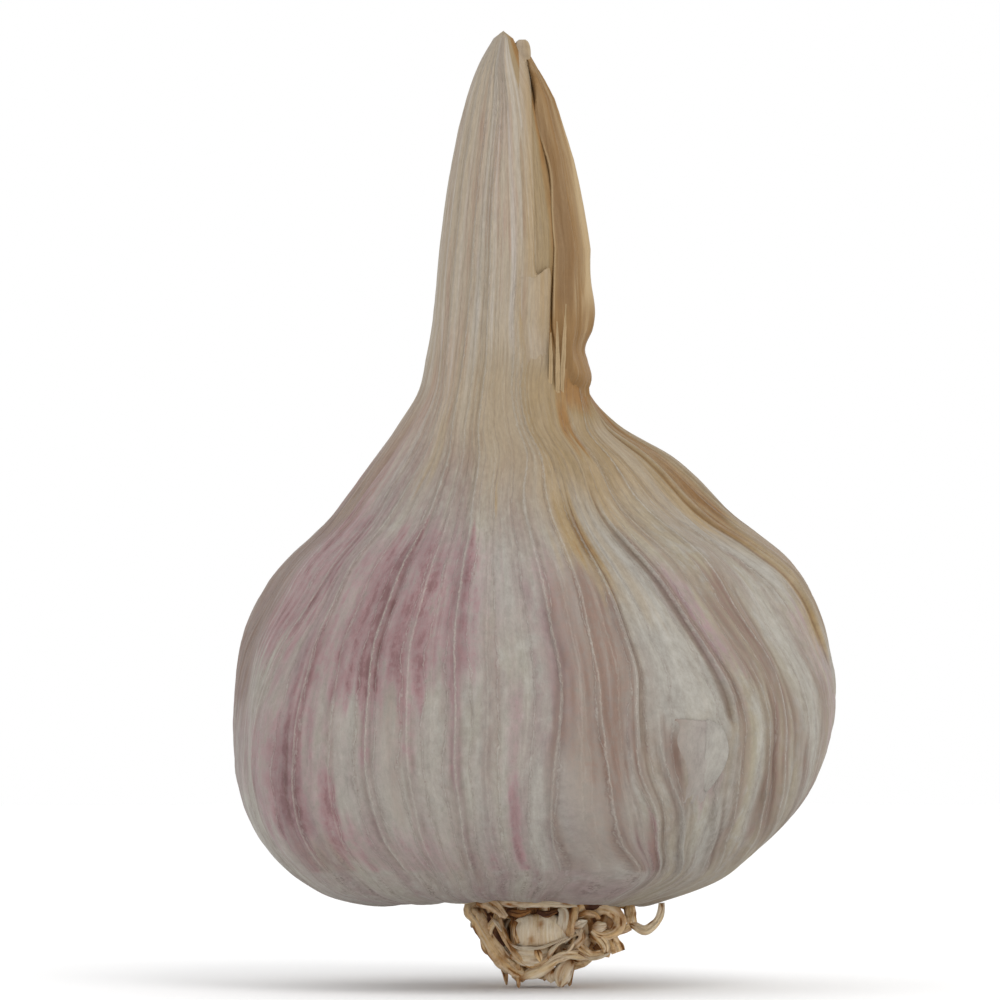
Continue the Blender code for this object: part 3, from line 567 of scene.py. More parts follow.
class Skin:
    """The head's surface on a grid of rows and veins, with its relief and colour masks."""

    def __init__(self):
        outline = np.array(OUTLINE, float)
        steps = np.hypot(np.diff(outline[:, 0]), np.diff(outline[:, 1]))
        along = np.concatenate([[0], np.cumsum(steps)])
        self.along = np.linspace(0, along[-1], SKIN_ROWS)[:, None]
        self.height, self.half, self.centre = np.split(spline(along, outline, self.along[:, 0]), 3, axis=1)
        veins = skin_columns()
        self.azimuth = vein_azimuths(veins, self.height[:, 0])
        self.vein = veins[None, :]
        self.place = np.broadcast_to(self.height, self.azimuth.shape)
        self.degree = math.pi / 180 * self.half          # width of a degree of azimuth
        # width of a degree of vein: veins spread and close up, so it isn't the same all round
        self.width = self.degree * np.clip(np.abs(np.gradient(self.azimuth, veins, axis=1)), 0.15, 4)
        self.out = np.clip(ease(7, 16, self.half) + ease(30, 45, self.height), 0, 1)
        # on the underside a vein's height is its place out from the root, so that streaks run on
        self.run = np.where(self.along < 14, 4 + 0.28 * self.along, self.height)
        self.wobble, self.fine = self.noise(21, 9, 9), self.noise(22, 1.1, 5)
        self.overlap = angle_between(self.vein, OVERLAP_VEIN) * self.width
        self.relief = self.make_relief()
        self.points = self.make_points()
        self.normals = row_normals(self.points)

    def noise(self, seed, degrees, length):
        """Noise that follows the veins."""
        return Noise(seed, degrees, length)(self.vein, self.place)

    def surface(self, azimuth, height, out):
        """Points 'out' millimetres above the finished surface, above the lowest row."""
        lowest = int(np.argmin(self.height[:, 0]))
        rows = np.interp(height, self.height[lowest:, 0], np.arange(lowest, SKIN_ROWS))
        spots = []
        for row, turn, lift in zip(rows.ravel(), azimuth.ravel(), out.ravel()):
            share = row - int(row)
            spot = 0
            for near, weight in ((int(row), 1 - share), (min(int(row) + 1, SKIN_ROWS - 1), share)):
                column = np.interp(turn, self.azimuth[near], np.arange(SKIN_COLUMNS))
                left, part = int(column), column - int(column)
                raised = self.points[near, left:left + 2] + lift * self.normals[near, left:left + 2]
                spot = spot + weight * (raised[0] * (1 - part) + raised[1] * part)
            spots.append(spot)
        return np.array(spots).reshape(*height.shape, 3)

    def near(self, vein, half_width):
        """Distance from a vein, as a share of a half width in millimetres."""
        away = angle_between(self.vein, vein + 0.5 * self.wobble)
        return np.abs(away) * self.width / half_width

    def span(self, low, high, fade=2.5):
        """1 from low to high along the veins, with ragged ends."""
        run = self.run + 1.2 * self.fine
        return ease(low - fade, low + fade, run) * (1 - ease(high - fade, high + fade, run))

    def fine_veins(self, collar, neck):
        """Shallow troughs between thin raised veins at random places all round."""
        draw = random.Random(FINE_SEED)
        veins, place = [], -180
        while place < 178.5:
            veins.append((place, draw.uniform(0.25, 1), draw.uniform(0, 50)))
            place += draw.uniform(*FINE_SPACING)
        veins.append((180, veins[0][1], veins[0][2]))
        mine = self.vein + 0.6 * self.noise(32, 8, 22)
        right = plateau(self.vein, 17, 23, 80, 92)
        calm = 1 - (0.40 + 0.35 * right) * ease(48, 40, self.place)
        calm = calm * (1 - 0.75 * neck)
        relief = np.zeros(self.azimuth.shape)
        for (left, strength, shift), (right, _, _) in zip(veins[:-1], veins[1:]):
            share = (mine - left) / (right - left)
            trough = np.where((share >= 0) & (share < 1), 4 * share * (1 - share), 0)
            swell = 0.65 + 0.35 * np.sin(self.place / 9 + shift)
            depth = (FINE_TROUGH + COLLAR_TROUGH * collar) * strength * swell
            crest = np.clip(1 - np.abs(mine - left) * self.width / FINE_HALF_WIDTH, 0, None) ** 1.5
            relief += calm * (-depth * trough + FINE_CREST * strength * swell * crest)
        return relief

    def make_relief(self):
        """Height above the plain round, in millimetres, of veins, troughs, edges and wrinkles."""
        place = self.place
        neck = ease(SHOULDER, NECK_BASE + 8, place)
        relief = self.fine_veins(bell((place - 50) / 7), neck)

        for foot, top, low, high, rise, half_width in MAIN_VEINS:
            vein = foot + (top - foot) * ease(low, high, place)
            relief += 0.85 * rise * bell(self.near(vein, 0.68 * half_width), 1.6) * self.span(low, high)
        for foot, top, low, high, depth, half_width in GROOVES:
            vein = foot + (top - foot) * ease(low, high, place)
            relief -= depth * bell(self.near(vein, 0.7 * half_width)) * self.span(low, high)
        sway = 2.2 * Noise(37, 14, 14)(self.azimuth, place)
        for ridge, strength in NECK_RIDGES:
            away = angle_between(self.azimuth, ridge + sway) * self.degree / NECK_RIDGE_HALF_WIDTH
            relief += NECK_RIDGE * strength * bell(away, 1.8) * ease(50, 60, place)

        relief += 0.12 * self.noise(33, 5, 10) * (1 - 0.5 * neck)
        relief += 0.035 * self.noise(34, 1.3, 1.5)
        relief += 0.030 * self.noise(35, 2.6, 0.9) * (1 - neck)
        relief += 0.16 * Noise(36, 4, 6)(self.vein, self.along) * ease(14, 9, place)

        relief -= WINDOW_DEPTH * self.window()
        right = ease(-0.12, 0.12, self.overlap) * (1 - ease(6, 14, self.overlap))
        relief += OVERLAP_STEP * right * self.span(*OVERLAP_HEIGHTS)
        relief += OVERLAP_LIP * bell((self.overlap - 0.2) / 0.35) * self.span(*OVERLAP_HEIGHTS)
        return relief * np.clip(self.out + 0.25, 0, 1) * (1 - ease(80, 86, place))

    def window(self):
        """1 where the outer skin is missing."""
        left, right = (angle_between(self.vein, side) * self.width for side in WINDOW)
        low, high = WINDOW_HEIGHTS
        fade = 0.5 + 3.5 * ease(29, 25, self.vein)
        inside = ease(-0.10, 0.14, left) * ease(0.14, -0.10, right)
        return inside * ease(low - fade, low + 0.5, self.place) * ease(high + 3, high - 4, self.place)

    def make_points(self):
        """The surface in millimetres: the plain round, the furrows between cloves, then the relief."""
        depth = self.half * depth_ratio(self.height)
        lobes = clove_lobes(self.azimuth, self.height) * self.out
        turn = np.radians(self.azimuth)
        across = self.centre + (self.half + lobes) * np.sin(turn)
        back = -(depth + lobes) * np.cos(turn)
        lift = FRONT_LIFT * bell(self.azimuth / FRONT_LIFT_SPAN) * ease(17, 9, self.place)
        points = np.stack([across, back, self.place + lift], axis=-1)
        return points + row_normals(points) * self.relief[:, :, None]

    def streaks(self, table):
        """Strength of one colour's streaks, with ragged sides and ends."""
        mask = np.zeros(self.azimuth.shape)
        ragged = 1 + STREAK_RAGGED * self.fine
        ends = self.run + 1.6 * self.fine + 0.9 * self.wobble
        fade = STREAK_FADE
        for vein, half_width, low, high, strength in table:
            foot, top = vein if isinstance(vein, tuple) else (vein, vein)
            vein = foot + (top - foot) * np.clip((self.place - low) / (high - low), 0, 1)
            away = np.abs(angle_between(self.vein, vein + 0.35 * self.wobble)) / (half_width * ragged)
            side = np.exp(-0.9 * away ** STREAK_POWER)
            along = plateau(ends, low - fade, low + fade, high - fade, high + fade)
            mask = 1 - (1 - mask) * (1 - strength * side * along)
        return mask

    def vein_lines(self):
        """Distance in millimetres from the nearest main vein, whose sign changes at each vein, and how much
        that vein shows."""
        mine = self.vein - 0.5 * self.wobble
        places, crest = [], np.zeros(mine.shape)
        for foot, top, low, high, rise, _ in MAIN_VEINS:
            vein = foot + (top - foot) * ease(low, high, self.height)
            places.append(vein[:, 0])
            shown = np.clip(rise / 0.2, 0.25, 1) * bell(angle_between(mine, vein) * self.width / 0.8)
            crest = np.maximum(crest, shown * self.span(low, high))
        away = np.empty(mine.shape)
        for row, veins in enumerate(np.sort(np.stack(places, 1), axis=1)):
            veins = np.concatenate([[veins[-1] - 360], veins, [veins[0] + 360]])
            after = np.clip(np.searchsorted(veins, mine[row]), 1, len(veins) - 1)
            nearest = np.minimum(mine[row] - veins[after - 1], veins[after] - mine[row])
            away[row] = nearest * (1 - 2 * (after % 2))
        return away * self.width, crest

    def scattered(self, seed, count, feet, strengths, half_widths):
        """Streaks drawn at random for the sides and the back."""
        draw = random.Random(seed)
        table = []
        for _ in range(count):
            vein = draw.uniform(*SIDES_AND_BACK)
            start = draw.uniform(*feet)
            table.append(((vein + 180) % 360 - 180, draw.uniform(*half_widths), start,
                          start + draw.uniform(*SCATTERED_LENGTH), draw.uniform(*strengths)))
        return table

    def toasted(self):
        """How far the skin has browned: the right shoulder, the right side's edge, and round the neck."""
        vein, place, wavy = self.vein, self.place, self.place + 2 * self.wobble
        turn = np.where(self.azimuth < -120, self.azimuth + 360, self.azimuth)
        shoulder = 0.62 * plateau(vein, 0, 16, 56, 74) * ease(39, 47, wavy)
        side = 0.34 * ease(-0.1, 0.2, self.overlap) * ease(125, 100, vein) * (vein > 0)
        side = side * ease(29, 35, place)
        collar = 0.45 * ease(44, 52, place) * ease(105, 135, np.abs(vein))
        base = 0.38 * ease(-60, 0, turn) * ease(200, 150, turn) * ease(38, 50, wavy)
        under_leaf = plateau(turn, 26, 42, 192, 208) * ease(47.5, 54, place + self.wobble)
        recess = plateau(turn, *RECESS, 192, 208) * (0.62 + 0.33 * ease(36, 46, turn))
        above = ease(62, 54, place)
        low = np.maximum.reduce([self.streaks(TOAST) * above, shoulder * above, collar * above, base * above])
        return np.maximum.reduce([low, side, under_leaf * ease(66, 60, place),
                                  recess * ease(55, 61, place)])

    def masks(self):
        """Shares of each colour, and of painted highlight and shade, over the skin, named as the material
        reads them.
        """
        grain, fleck = self.noise(41, 0.9, 7), self.noise(42, 0.8, 1.1)
        ragged = np.clip(0.88 + 0.36 * grain + 0.12 * fleck, 0, 1.25)
        blush, umber, pale = (self.streaks(table + self.scattered(*SCATTERED[label]))
                              for label, table in (("blush", BLUSH), ("umber", UMBER), ("pale", PALE)))
        smooth = self.relief
        for _ in range(8):
            smooth = (np.roll(smooth, 1, axis=1) + 2 * smooth + np.roll(smooth, -1, axis=1)) / 4
        neck = ease(43, 57, self.place + 2 * self.wobble)
        warm = self.noise(43, 5, 26) + 0.7 * self.noise(44, 1.9, 15)
        warm = warm * (1 - neck) + 1.3 * neck * (Noise(45, 17, 44)(self.azimuth, self.place)
                                                   + 0.5 * Noise(46, 8, 24)(self.azimuth, self.place))
        strip = plateau(self.azimuth, *STRIP_AZIMUTHS)
        strip = strip * ease(50, 62, self.place) * ease(70, 62, self.place)
        veined = np.ones(self.azimuth.shape)
        veined[:, :1] = veined[:, -1:] = 0
        away, crest = self.vein_lines()
        straw = plateau(self.vein, 12, 26, 110, 150)
        return {
            "blush": np.clip(blush * ragged, 0, 1), "umber": np.clip(umber * ragged, 0, 1),
            "pale": np.clip(pale, 0, 1), "toast": np.clip(self.toasted(), 0, 1),
            # edge: painted highlight where the relief stands above its smoothed copy, painted shade where it
            # sinks below
            "edge": np.clip((self.relief - smooth) / 0.07, -1, 1),
            "soot": ease(15.5, 8.5, self.place) * ease(-0.1, 0.7, fleck) * ease(-0.4, 0.4, grain),
            "warm": np.tanh(1.6 * warm), "neck": neck, "strip": strip, "veined": veined,
            "away": away, "crest": crest * veined,
            "straw": straw * (0.75 + 0.25 * np.tanh(2 * self.noise(47, 12, 12))),
            "vein": np.broadcast_to(self.vein, self.azimuth.shape),
        }


def make_skin(material):
    """The whole skin, closed by a fan of faces at the dimple and at the neck's tip."""
    skin = Skin()
    rows, columns = skin.azimuth.shape
    faces, places = grid_faces(rows, columns, closed=True)
    points = np.concatenate([skin.points.reshape(-1, 3), [DIMPLE_TOP, NECK_TIP]])
    last, top = rows * columns, (rows - 1) * columns
    round_way = [(a, (a + 1) % columns) for a in range(columns)]
    fans = [(b, a, last) for a, b in round_way] + [(top + a, top + b, last + 1) for a, b in round_way]

    length = skin.along[-1, 0]
    up = np.concatenate([skin.along[:, 0] + 8, [length + 9]]) / (length + 9)
    across = np.concatenate([(skin.vein[0] + 180) / 360, [1]])
    uvs = np.stack([across[places[:, :, 0]], up[places[:, :, 1]]], axis=-1).reshape(-1, 2)
    sides = [(a, b, (a + b) / 2) for a, b in zip(across[:-1], across[1:])]
    fan_uvs = [corner for a, b, middle in sides for corner in ((b, up[0]), (a, up[0]), (middle, 0))]
    fan_uvs += [corner for a, b, middle in sides for corner in ((a, up[-2]), (b, up[-2]), (middle, 1))]

    attributes = {}
    for label, mask in skin.masks().items():
        flat = mask.ravel()
        attributes[label] = np.concatenate([flat, [flat[:columns].mean(), flat[-columns:].mean()]])
    grain = grain_round(np.broadcast_to(skin.vein, skin.azimuth.shape), skin.along, SKIN_RING).reshape(-1, 3)
    attributes["grain"] = np.concatenate([grain, [[0, 0, -8], [0, 0, length + 1]]])
    piece = make_mesh("papery_skin", material, points, faces.tolist() + fans, attributes,
                      np.concatenate([uvs, np.array(fan_uvs)]))
    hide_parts("bulb")
    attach(piece, BODY)
    return skin


# ------------------------------------------------------------------ materials

class Value:
    """A node's output; sums, differences and products with it add math nodes."""

    def __init__(self, nodes, socket):
        self.nodes, self.socket = nodes, socket

    def __add__(self, other):
        return self.nodes.math("ADD", self, other)

    def __radd__(self, other):
        return self.nodes.math("ADD", other, self)

    def __sub__(self, other):
        return self.nodes.math("SUBTRACT", self, other)

    def __rsub__(self, other):
        return self.nodes.math("SUBTRACT", other, self)

    def __mul__(self, other):
        return self.nodes.math("MULTIPLY", self, other)

    def clamped(self):
        """The same value, kept within 0 and 1."""
        self.socket.node.use_clamp = True
        return self

    def ramp(self, low, high, start=0, end=1):
        """'start' at low, 'end' at high, and level beyond them."""
        return self.nodes.add("ShaderNodeMapRange", "Result", {
            "Value": self, "From Min": low, "From Max": high, "To Min": start, "To Max": end})


class Nodes:
    """Short calls that add shader nodes to a material and paint its base colour layer by layer."""

    def __init__(self, name, noises=None):
        self.material = bpy.data.materials.new(name)
        self.material.use_nodes = True
        self.tree = self.material.node_tree
        self.shader = self.tree.nodes["Principled BSDF"]
        self.tint = None
        if noises:
            self.grain = self.attribute("grain", "Vector")
            self.noises = [self.noise(*numbers) for numbers in noises.values()]

    def put(self, socket, value):
        """Links a value to a socket, or sets a plain number or colour on it."""
        if isinstance(value, Value):
            self.tree.links.new(value.socket, socket)
        else:
            socket.default_value = value

    def add(self, kind, output, inputs, **settings):
        """A new node's output, with the node's inputs and settings filled in."""
        node = self.tree.nodes.new(kind)
        for label, setting in settings.items():
            setattr(node, label, setting)
        for socket, value in inputs.items():
            self.put(node.inputs[socket], value)
        return Value(self, node.outputs[output])

    def attribute(self, name, output="Fac"):
        return self.add("ShaderNodeAttribute", output, {}, attribute_name=name)

    def attributes(self, *names):
        return [self.attribute(name) for name in names]

    def math(self, operation, first, second=0):
        return self.add("ShaderNodeMath", 0, {0: first, 1: second}, operation=operation)

    def mix(self, share, first, second, blend="MIX"):
        return self.add("ShaderNodeMix", "Result", {"Factor": share, "A": first, "B": second},
                        data_type="RGBA", blend_type=blend)

    def noise(self, stretch, scale, detail, roughness):
        """Noise that is drawn out along the grain where stretch is small."""
        vector = self.grain
        if stretch != 1:
            vector = self.add("ShaderNodeMapping", "Vector", {"Vector": vector, "Scale": (1, 1, stretch)})
        return self.add("ShaderNodeTexNoise", "Fac", {
            "Vector": vector, "Scale": scale, "Detail": detail, "Roughness": roughness})

    def cell_edge(self, value, scale):
        """Distance, in cells, from a number to the nearest border between random cells of a line."""
        return self.add("ShaderNodeTexVoronoi", "Distance", {"W": value, "Scale": scale},
                        voronoi_dimensions="1D", feature="DISTANCE_TO_EDGE")

    def paint(self, name, share, gain=1):
        """Lays a palette colour over the tint."""
        self.tint = self.mix(share, self.tint, colour(name, gain))

    def paint_shade(self, share, gain):
        """Paints shade: darkens the tint by multiplying it with umber."""
        self.tint = self.mix(share, self.tint, self.mix(1, self.tint, colour("umber", gain), "MULTIPLY"))

    def finish(self, roughness, specular, height=None, distance=0, strength=1):
        """Joins the tint, the gloss and the bumps to the shader."""
        self.put(self.shader.inputs["Base Color"], self.tint)
        self.put(self.shader.inputs["Roughness"], roughness)
        self.put(self.shader.inputs["Specular IOR Level"], specular)
        if height:
            bump = self.add("ShaderNodeBump", "Normal", {
                "Strength": strength, "Distance": distance, "Height": height})
            self.put(self.shader.inputs["Normal"], bump)
        return self.material


def colour(name, gain=1):
    """A palette colour as linear RGBA."""
    shares = [channel / 255 for channel in PALETTE[name]]
    linear = [share / 12.92 if share <= 0.04045 else ((share + 0.055) / 1.055) ** 2.4 for share in shares]
    return (*(gain * share for share in linear), 1)


def skin_material():
    """Papery skin: parchment with pink, umber and pale streaks along the veins, ivory and tan at the neck."""
    n = Nodes("papery_skin", SKIN_NOISES)
    cloud, patch, fibre, mottle, speck, bead, stripe = n.noises
    neck, veined, crest, edge = n.attributes("neck", "veined", "crest", "edge")
    blush, umber = n.attributes("blush", "umber")
    body = 1 - neck

    # thin beaded veins at random places round the head
    vein = n.attribute("vein") + bead.ramp(0.2, 0.8, -0.22, 0.22) + cloud.ramp(0.2, 0.8, -1.2, 1.2)
    wide, narrow = n.cell_edge(vein, 0.19), n.cell_edge(vein, 0.47)
    line = wide.ramp(0.030, 0.012) * bead.ramp(0.36, 0.52)
    line = n.math("MAXIMUM", line, narrow.ramp(0.070, 0.03, 0, 0.32) * (fibre.ramp(0.42, 0.56) * veined))
    line = line * (veined * neck.ramp(0, 1, 0.8, 0.15))

    # the main veins: a pale cord with painted shade on both sides
    away = n.math("ABSOLUTE", n.attribute("away") + bead.ramp(0.3, 0.7, -0.11, 0.11))
    cord = away.ramp(0.12, 0.04) * crest * speck.ramp(0.40, 0.56, 0.30, 1)
    flank = away.ramp(0.60, 0.12) * (crest * body)
    # beside the thin veins: where painted shade is laid, and where dark flecks gather
    beside = wide.ramp(0.10, 0.03) * veined

    # parchment, greener or pinker in wide soft bands, with pale patches
    warm = n.attribute("warm") + cloud.ramp(0.3, 0.7, -1.1, 1.1)
    n.tint = n.mix(warm.ramp(-0.2, -1.5), colour("parchment"), colour("greenish"))
    n.paint("mauve", warm.ramp(0, 1.6, 0, 0.85))
    n.paint("straw", n.attribute("straw") * 0.62)
    n.paint("pale", patch.ramp(0.50, 0.68, 0, 0.66))
    n.paint("pale", n.attribute("pale") * mottle.ramp(0.3, 0.6, 0.7, 1))

    # streaks
    flecked = blush * mottle.ramp(0.36, 0.62, 0.62, 1.30)
    flecked = (flecked + blush * patch.ramp(0.35, 0.65, -0.30, 0.28)).clamped()
    n.paint("mauve", flecked.ramp(0.05, 0.42))
    n.paint("pink", flecked.ramp(0.34, 0.85))
    n.paint("wine", flecked.ramp(0.80, 1, 0, 0.7))
    n.paint("umber", (umber * mottle.ramp(0.36, 0.60, 0.65, 1.2)).clamped())

    # the neck, and skin that has browned
    stripe = stripe.ramp(0.46, 0.64, 0, 0.55) * cloud.ramp(0.38, 0.62, 0.35, 1.1)
    ivory = n.mix(warm.ramp(-0.4, 1.1), colour("ivory"), colour("ivory_pink"))
    ivory = n.mix(stripe, ivory, colour("white", 1.2))
    ivory = n.mix(fibre.ramp(0.55, 0.75, 0, 0.08), ivory, colour("white", 1.25))
    n.tint = n.mix(neck * n.math("MAXIMUM", blush, umber).ramp(0.1, 0.9, 1, 0.30), n.tint, ivory)
    n.paint("fold", n.attribute("strip") * fibre.ramp(0.35, 0.6, 1, 0.7))
    toast = (n.attribute("toast") * cloud.ramp(0.3, 0.7, 0.85, 1.15)).clamped()
    n.paint("tan", toast.ramp(0, 0.50))
    n.paint("ochre", toast.ramp(0.45, 0.75))
    n.paint("brown", toast.ramp(0.72, 1))

    # fine detail: dark flecks, pale veins with painted shade beside them, painted highlights on the ridges
    # and painted shade in the grooves
    fleck = speck.ramp(0.56, 0.68) * (blush + beside).ramp(0, 0.9, 0.12, 0.85) * body
    n.paint("wine", fleck * 0.48)
    n.paint("soot", (n.attribute("soot") * speck.ramp(0.46, 0.58)).clamped() * 0.60)
    # painted shade beside the thin veins
    n.paint_shade(beside * 0.16, 2)
    n.paint("white", line * 0.36, 1.1)
    # painted shade on both sides of the main veins
    n.paint_shade(flank * 0.18, 2)
    n.tint = n.mix(cord * 0.55, n.tint, n.mix(0.4, colour("white", 1.1), colour("ivory", 1.2)))
    # painted highlight on the ridges and painted shade in the grooves
    n.tint = n.mix(edge.ramp(0.15, 1, 0, 0.38), n.tint, n.mix(0.6, n.tint, colour("white", 1.1)))
    n.paint_shade(edge.ramp(-0.10, -1, 0, 0.52), 2.2)
    shade = 1 + fibre.ramp(0.3, 0.7, -0.05, 0.05) * body.ramp(0, 1, 0.3, 1)
    shade = shade + mottle.ramp(0.3, 0.7, -0.15, 0.15) + body * warm.ramp(-2, 2, 0.18, -0.15)
    n.tint = n.mix(1, n.tint, shade - umber * toast * 0.20, "MULTIPLY")

    height = (fibre * 0.35 + mottle * 0.45) * neck.ramp(0, 1, 1, 0.35) + (line * 0.25 + cord * 0.35)
    return n.finish(fibre.ramp(0.3, 0.7, 0.62, 0.48), 0.20, height, SKIN_BUMP, 0.9)


def leaf_material():
    """Dry brown leaf with straight fibres, with painted highlights on its ridges and rim, a paler front edge,
    and painted shade in its hollows.
    """
    n = Nodes("dry_leaf", LEAF_NOISES)
    fibre, blotch, mottle = n.noises
    n.tint = n.mix(blotch.ramp(0.40, 0.62), colour("leaf"), colour("leaf_low"))
    n.paint("leaf_low", n.attribute("low"))
    n.paint("leaf_pale", fibre.ramp(0.52, 0.75, 0, 0.30))
    n.paint("leaf_dark", fibre.ramp(0.48, 0.30, 0, 0.30))
    n.paint("dark_brown", n.attribute("dark") * mottle.ramp(0.3, 0.6, 0.7, 1))
    n.paint("leaf_pale", n.attribute("pale"))
    return n.finish(fibre.ramp(0.3, 0.7, 0.60, 0.46), 0.30, fibre + mottle * 0.5, LEAF_BUMP, 0.8)


def root_material():
    """Dried roots: golden tan, brown where they join the plate, some of them bleached, with painted shade in
    creases and gaps and painted highlights along the ribbons' edges.
    """
    n = Nodes("dry_root", ROOT_NOISES)
    fibre, mottle = n.noises
    n.tint = n.mix(fibre.ramp(0.35, 0.7, 0, 0.7), colour("root"), colour("root_pale"))
    n.paint("root_brown", mottle.ramp(0.50, 0.68, 0, 0.75))
    bleached = n.mix(fibre.ramp(0.25, 0.75), colour("leaf_pale", 1.05), colour("root_pale", 0.95))
    n.tint = n.mix(n.attribute("pale"), n.tint, bleached)
    dark = (n.attribute("dark") * mottle.ramp(0.3, 0.6, 0.75, 1.1)).clamped()
    n.paint("root_brown", dark.ramp(0, 0.5))
    n.paint("root_dark", dark.ramp(0.4, 1))
    return n.finish(0.68, 0.25, fibre + mottle * 0.6, ROOT_BUMP, 0.9)


# ------------------------------------------------------------------ the neck's dry leaf

def neck_section(height):
    """Half width and centre of the plain round of the neck."""
    outline = np.array(OUTLINE, float)
    upper = outline[outline[:, 0] > 40]
    return (np.interp(height, upper[:, 0], upper[:, column]) for column in (1, 2))


def neck_point(azimuth, height, out):
    """Points 'out' millimetres off the plain round of the neck."""
    half, centre = neck_section(height)
    turn = np.radians(azimuth)
    across = centre + (half + out) * np.sin(turn)
    back = -(half * depth_ratio(height) + out) * np.cos(turn)
    return np.stack(np.broadcast_arrays(across, back, height), axis=-1)


def sheath_height(table, azimuth):
    """The sheath's top or foot as one row of heights."""
    return spline(*zip(*table), azimuth[0])[None, :]


def sheath_relief(azimuth, height):
    """Ridges, valleys and wrinkles of the leaf, in millimetres."""
    wander = 1.6 * Noise(63, 12, 9)(azimuth, height)
    relief = np.zeros(height.shape)
    for place, half_width, low, high, rise in SHEATH_RELIEF:
        away = angle_between(azimuth, place + wander) / half_width
        relief += rise * bell(away) * ease(low - 1, low + 3, height) * ease(high + 1, high - 5, height)
    for seed, degrees, length, rise in SHEATH_WRINKLES:
        relief += rise * Noise(seed, degrees, length)(azimuth, height)
    return relief


def make_neck_sheath(material):
    """The dry leaf: its foot sinks into the shoulder's skin and its top closes in on the neck's tip."""
    share = column_share(SHEATH_COLUMNS)
    azimuth = SHEATH_FRONT + (SHEATH_BACK - SHEATH_FRONT) * share
    nick = Noise(61, 2.5, 4)
    top = sheath_height(SHEATH_TOP, azimuth) + 0.22 * nick(azimuth, 0)
    foot = sheath_height(SHEATH_FOOT, azimuth) + 0.4 * nick(azimuth, 20)
    foot = foot + 0.5 * Noise(62, 7, 4)(azimuth, 0)
    height = foot + (top - foot) * row_share(SHEATH_ROWS)
    edge = spline(*zip(*SHEATH_EDGE), height.ravel()).reshape(height.shape) - SHEATH_FRONT
    azimuth = azimuth + edge * (1 - share) ** 5
    relief = sheath_relief(azimuth, height)
    low_foot = plateau(azimuth, 52, 58, 108, 118)
    hug = ease(foot, foot + 5, height) * (1 - low_foot * (1 - ease(*SHEATH_WAIST, height)))
    for level, half_height, place, half_width, rise in SHEATH_FLARES:
        away = ((height - level) / half_height) ** 2 + (angle_between(azimuth, place) / half_width) ** 2
        relief += rise * np.exp(-away)
    close = ease(0, 2, top - height)
    front = ease(SHEATH_FRONT - 1, SHEATH_FRONT + 13, azimuth)
    thickness = 0.10 + (SHEATH_THICKNESS - 0.20) * hug * (0.3 + 0.7 * close) * (0.08 + 0.92 * front)
    thickness = thickness + (0.16 + 0.36 * ease(58, 55.4, height)) * low_foot * (1 - hug) \
        * ease(foot, foot + 2, height)
    sunk = 0.22 + 0.34 * low_foot
    inner_out = sunk * (ease(foot, foot + 2.5, height) - 1) + SHEATH_GAP * hug * (0.02 + 0.98 * front)
    outer = neck_point(azimuth, height, inner_out + thickness + relief * (0.35 + 0.65 * hug))
    inner = neck_point(azimuth, height, inner_out + np.minimum(relief, 0) * hug * 0.6)

    # dark: painted shade in the hollow behind the front edge, in the relief's valleys and on the inner sheet;
    # pale: painted highlight on the ridges and along the rim, and a paler front edge
    hollow = plateau(azimuth, 43, 48, 53, 62)
    dark = 0.50 * hollow * ease(60, 63, height) * ease(80, 70, height)
    lip = ease(0.010, 0, share) * ease(60, 62, height) * ease(80, 74, height)
    rim = 0.32 * bell(angle_between(azimuth, 72) / 2.4) * ease(57, 60, height)
    pale = np.maximum(0.75 * ease(0.12, 0.32, relief) * ease(60, 64, height), 0.6 * lip)
    piece = leaf_shell("neck_leaf", material, outer, inner, {
        "low": ease(66, 58, height), "dark": (np.maximum(dark, ease(0, -0.30, relief) * 0.40), 0.6),
        "pale": (np.maximum(pale, rim * ease(84.5, 81, height)), 0),
        "grain": grain_round(azimuth, height, LEAF_RING)})
    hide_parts("neck_sheath")
    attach(piece, BODY)


def make_neck_strip(material):
    """The front skin's folded edge: a rolled strip that rises along the neck to its own rounded tip."""
    height, left, right = np.split(even_spline(NECK_STRIP, STRIP_ROWS), 3, axis=1)
    u = column_share(STRIP_COLUMNS)
    across = left + (right - left) * u
    half, centre = neck_section(height)
    sine = np.clip((across - centre) / half, -1, 1)
    cosine = np.sqrt(1.12 - sine ** 2)
    side = np.clip(0.55 - (right - across), 0, None) / 0.55
    roll = ease(0, 1.1, across - left) * np.sqrt(np.clip(1 - side ** 2, 0, 1))
    wrinkle = 0.05 * Noise(67, 20, 3)(u * 90, height) + 0.03 * Noise(68, 8, 1.2)(u * 90, height)
    out = (STRIP_RISE * roll + wrinkle * ease(57, 62, height)) * ease(53, 62, height) - 0.10
    out = out - 0.25 * ease(58, 51, height) - 0.06 * half * depth_ratio(height)
    out = out - 0.22 * u * ease(62, 55, height)       # its foot sinks in along a slant
    tear, slant = STRIP_TEAR
    height = height + slant * ease(-0.2, 1.4, across) * bell((height - tear) / 2)

    def sheet(lift):
        return np.stack([across + 0.5 * lift * sine, -half * depth_ratio(height) * cosine - lift, height], -1)

    # the 'edge' mask is a painted highlight along the roll, near its right edge
    piece = leaf_shell("neck_strip", material, sheet(out), sheet(out - STRIP_THICKNESS), {
        "grain": grain_round(np.degrees(np.arcsin(sine)), height, SKIN_RING), "neck": 1,
        "toast": 0.38 * ease(62, 54, height), "edge": 0.5 * bell((u - 0.82) / 0.08),
        "strip": (0.35 + 0.65 * ease(0.15, 0.85, u)) * ease(55, 61, height)})
    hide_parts("bulb")
    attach(piece, BODY)


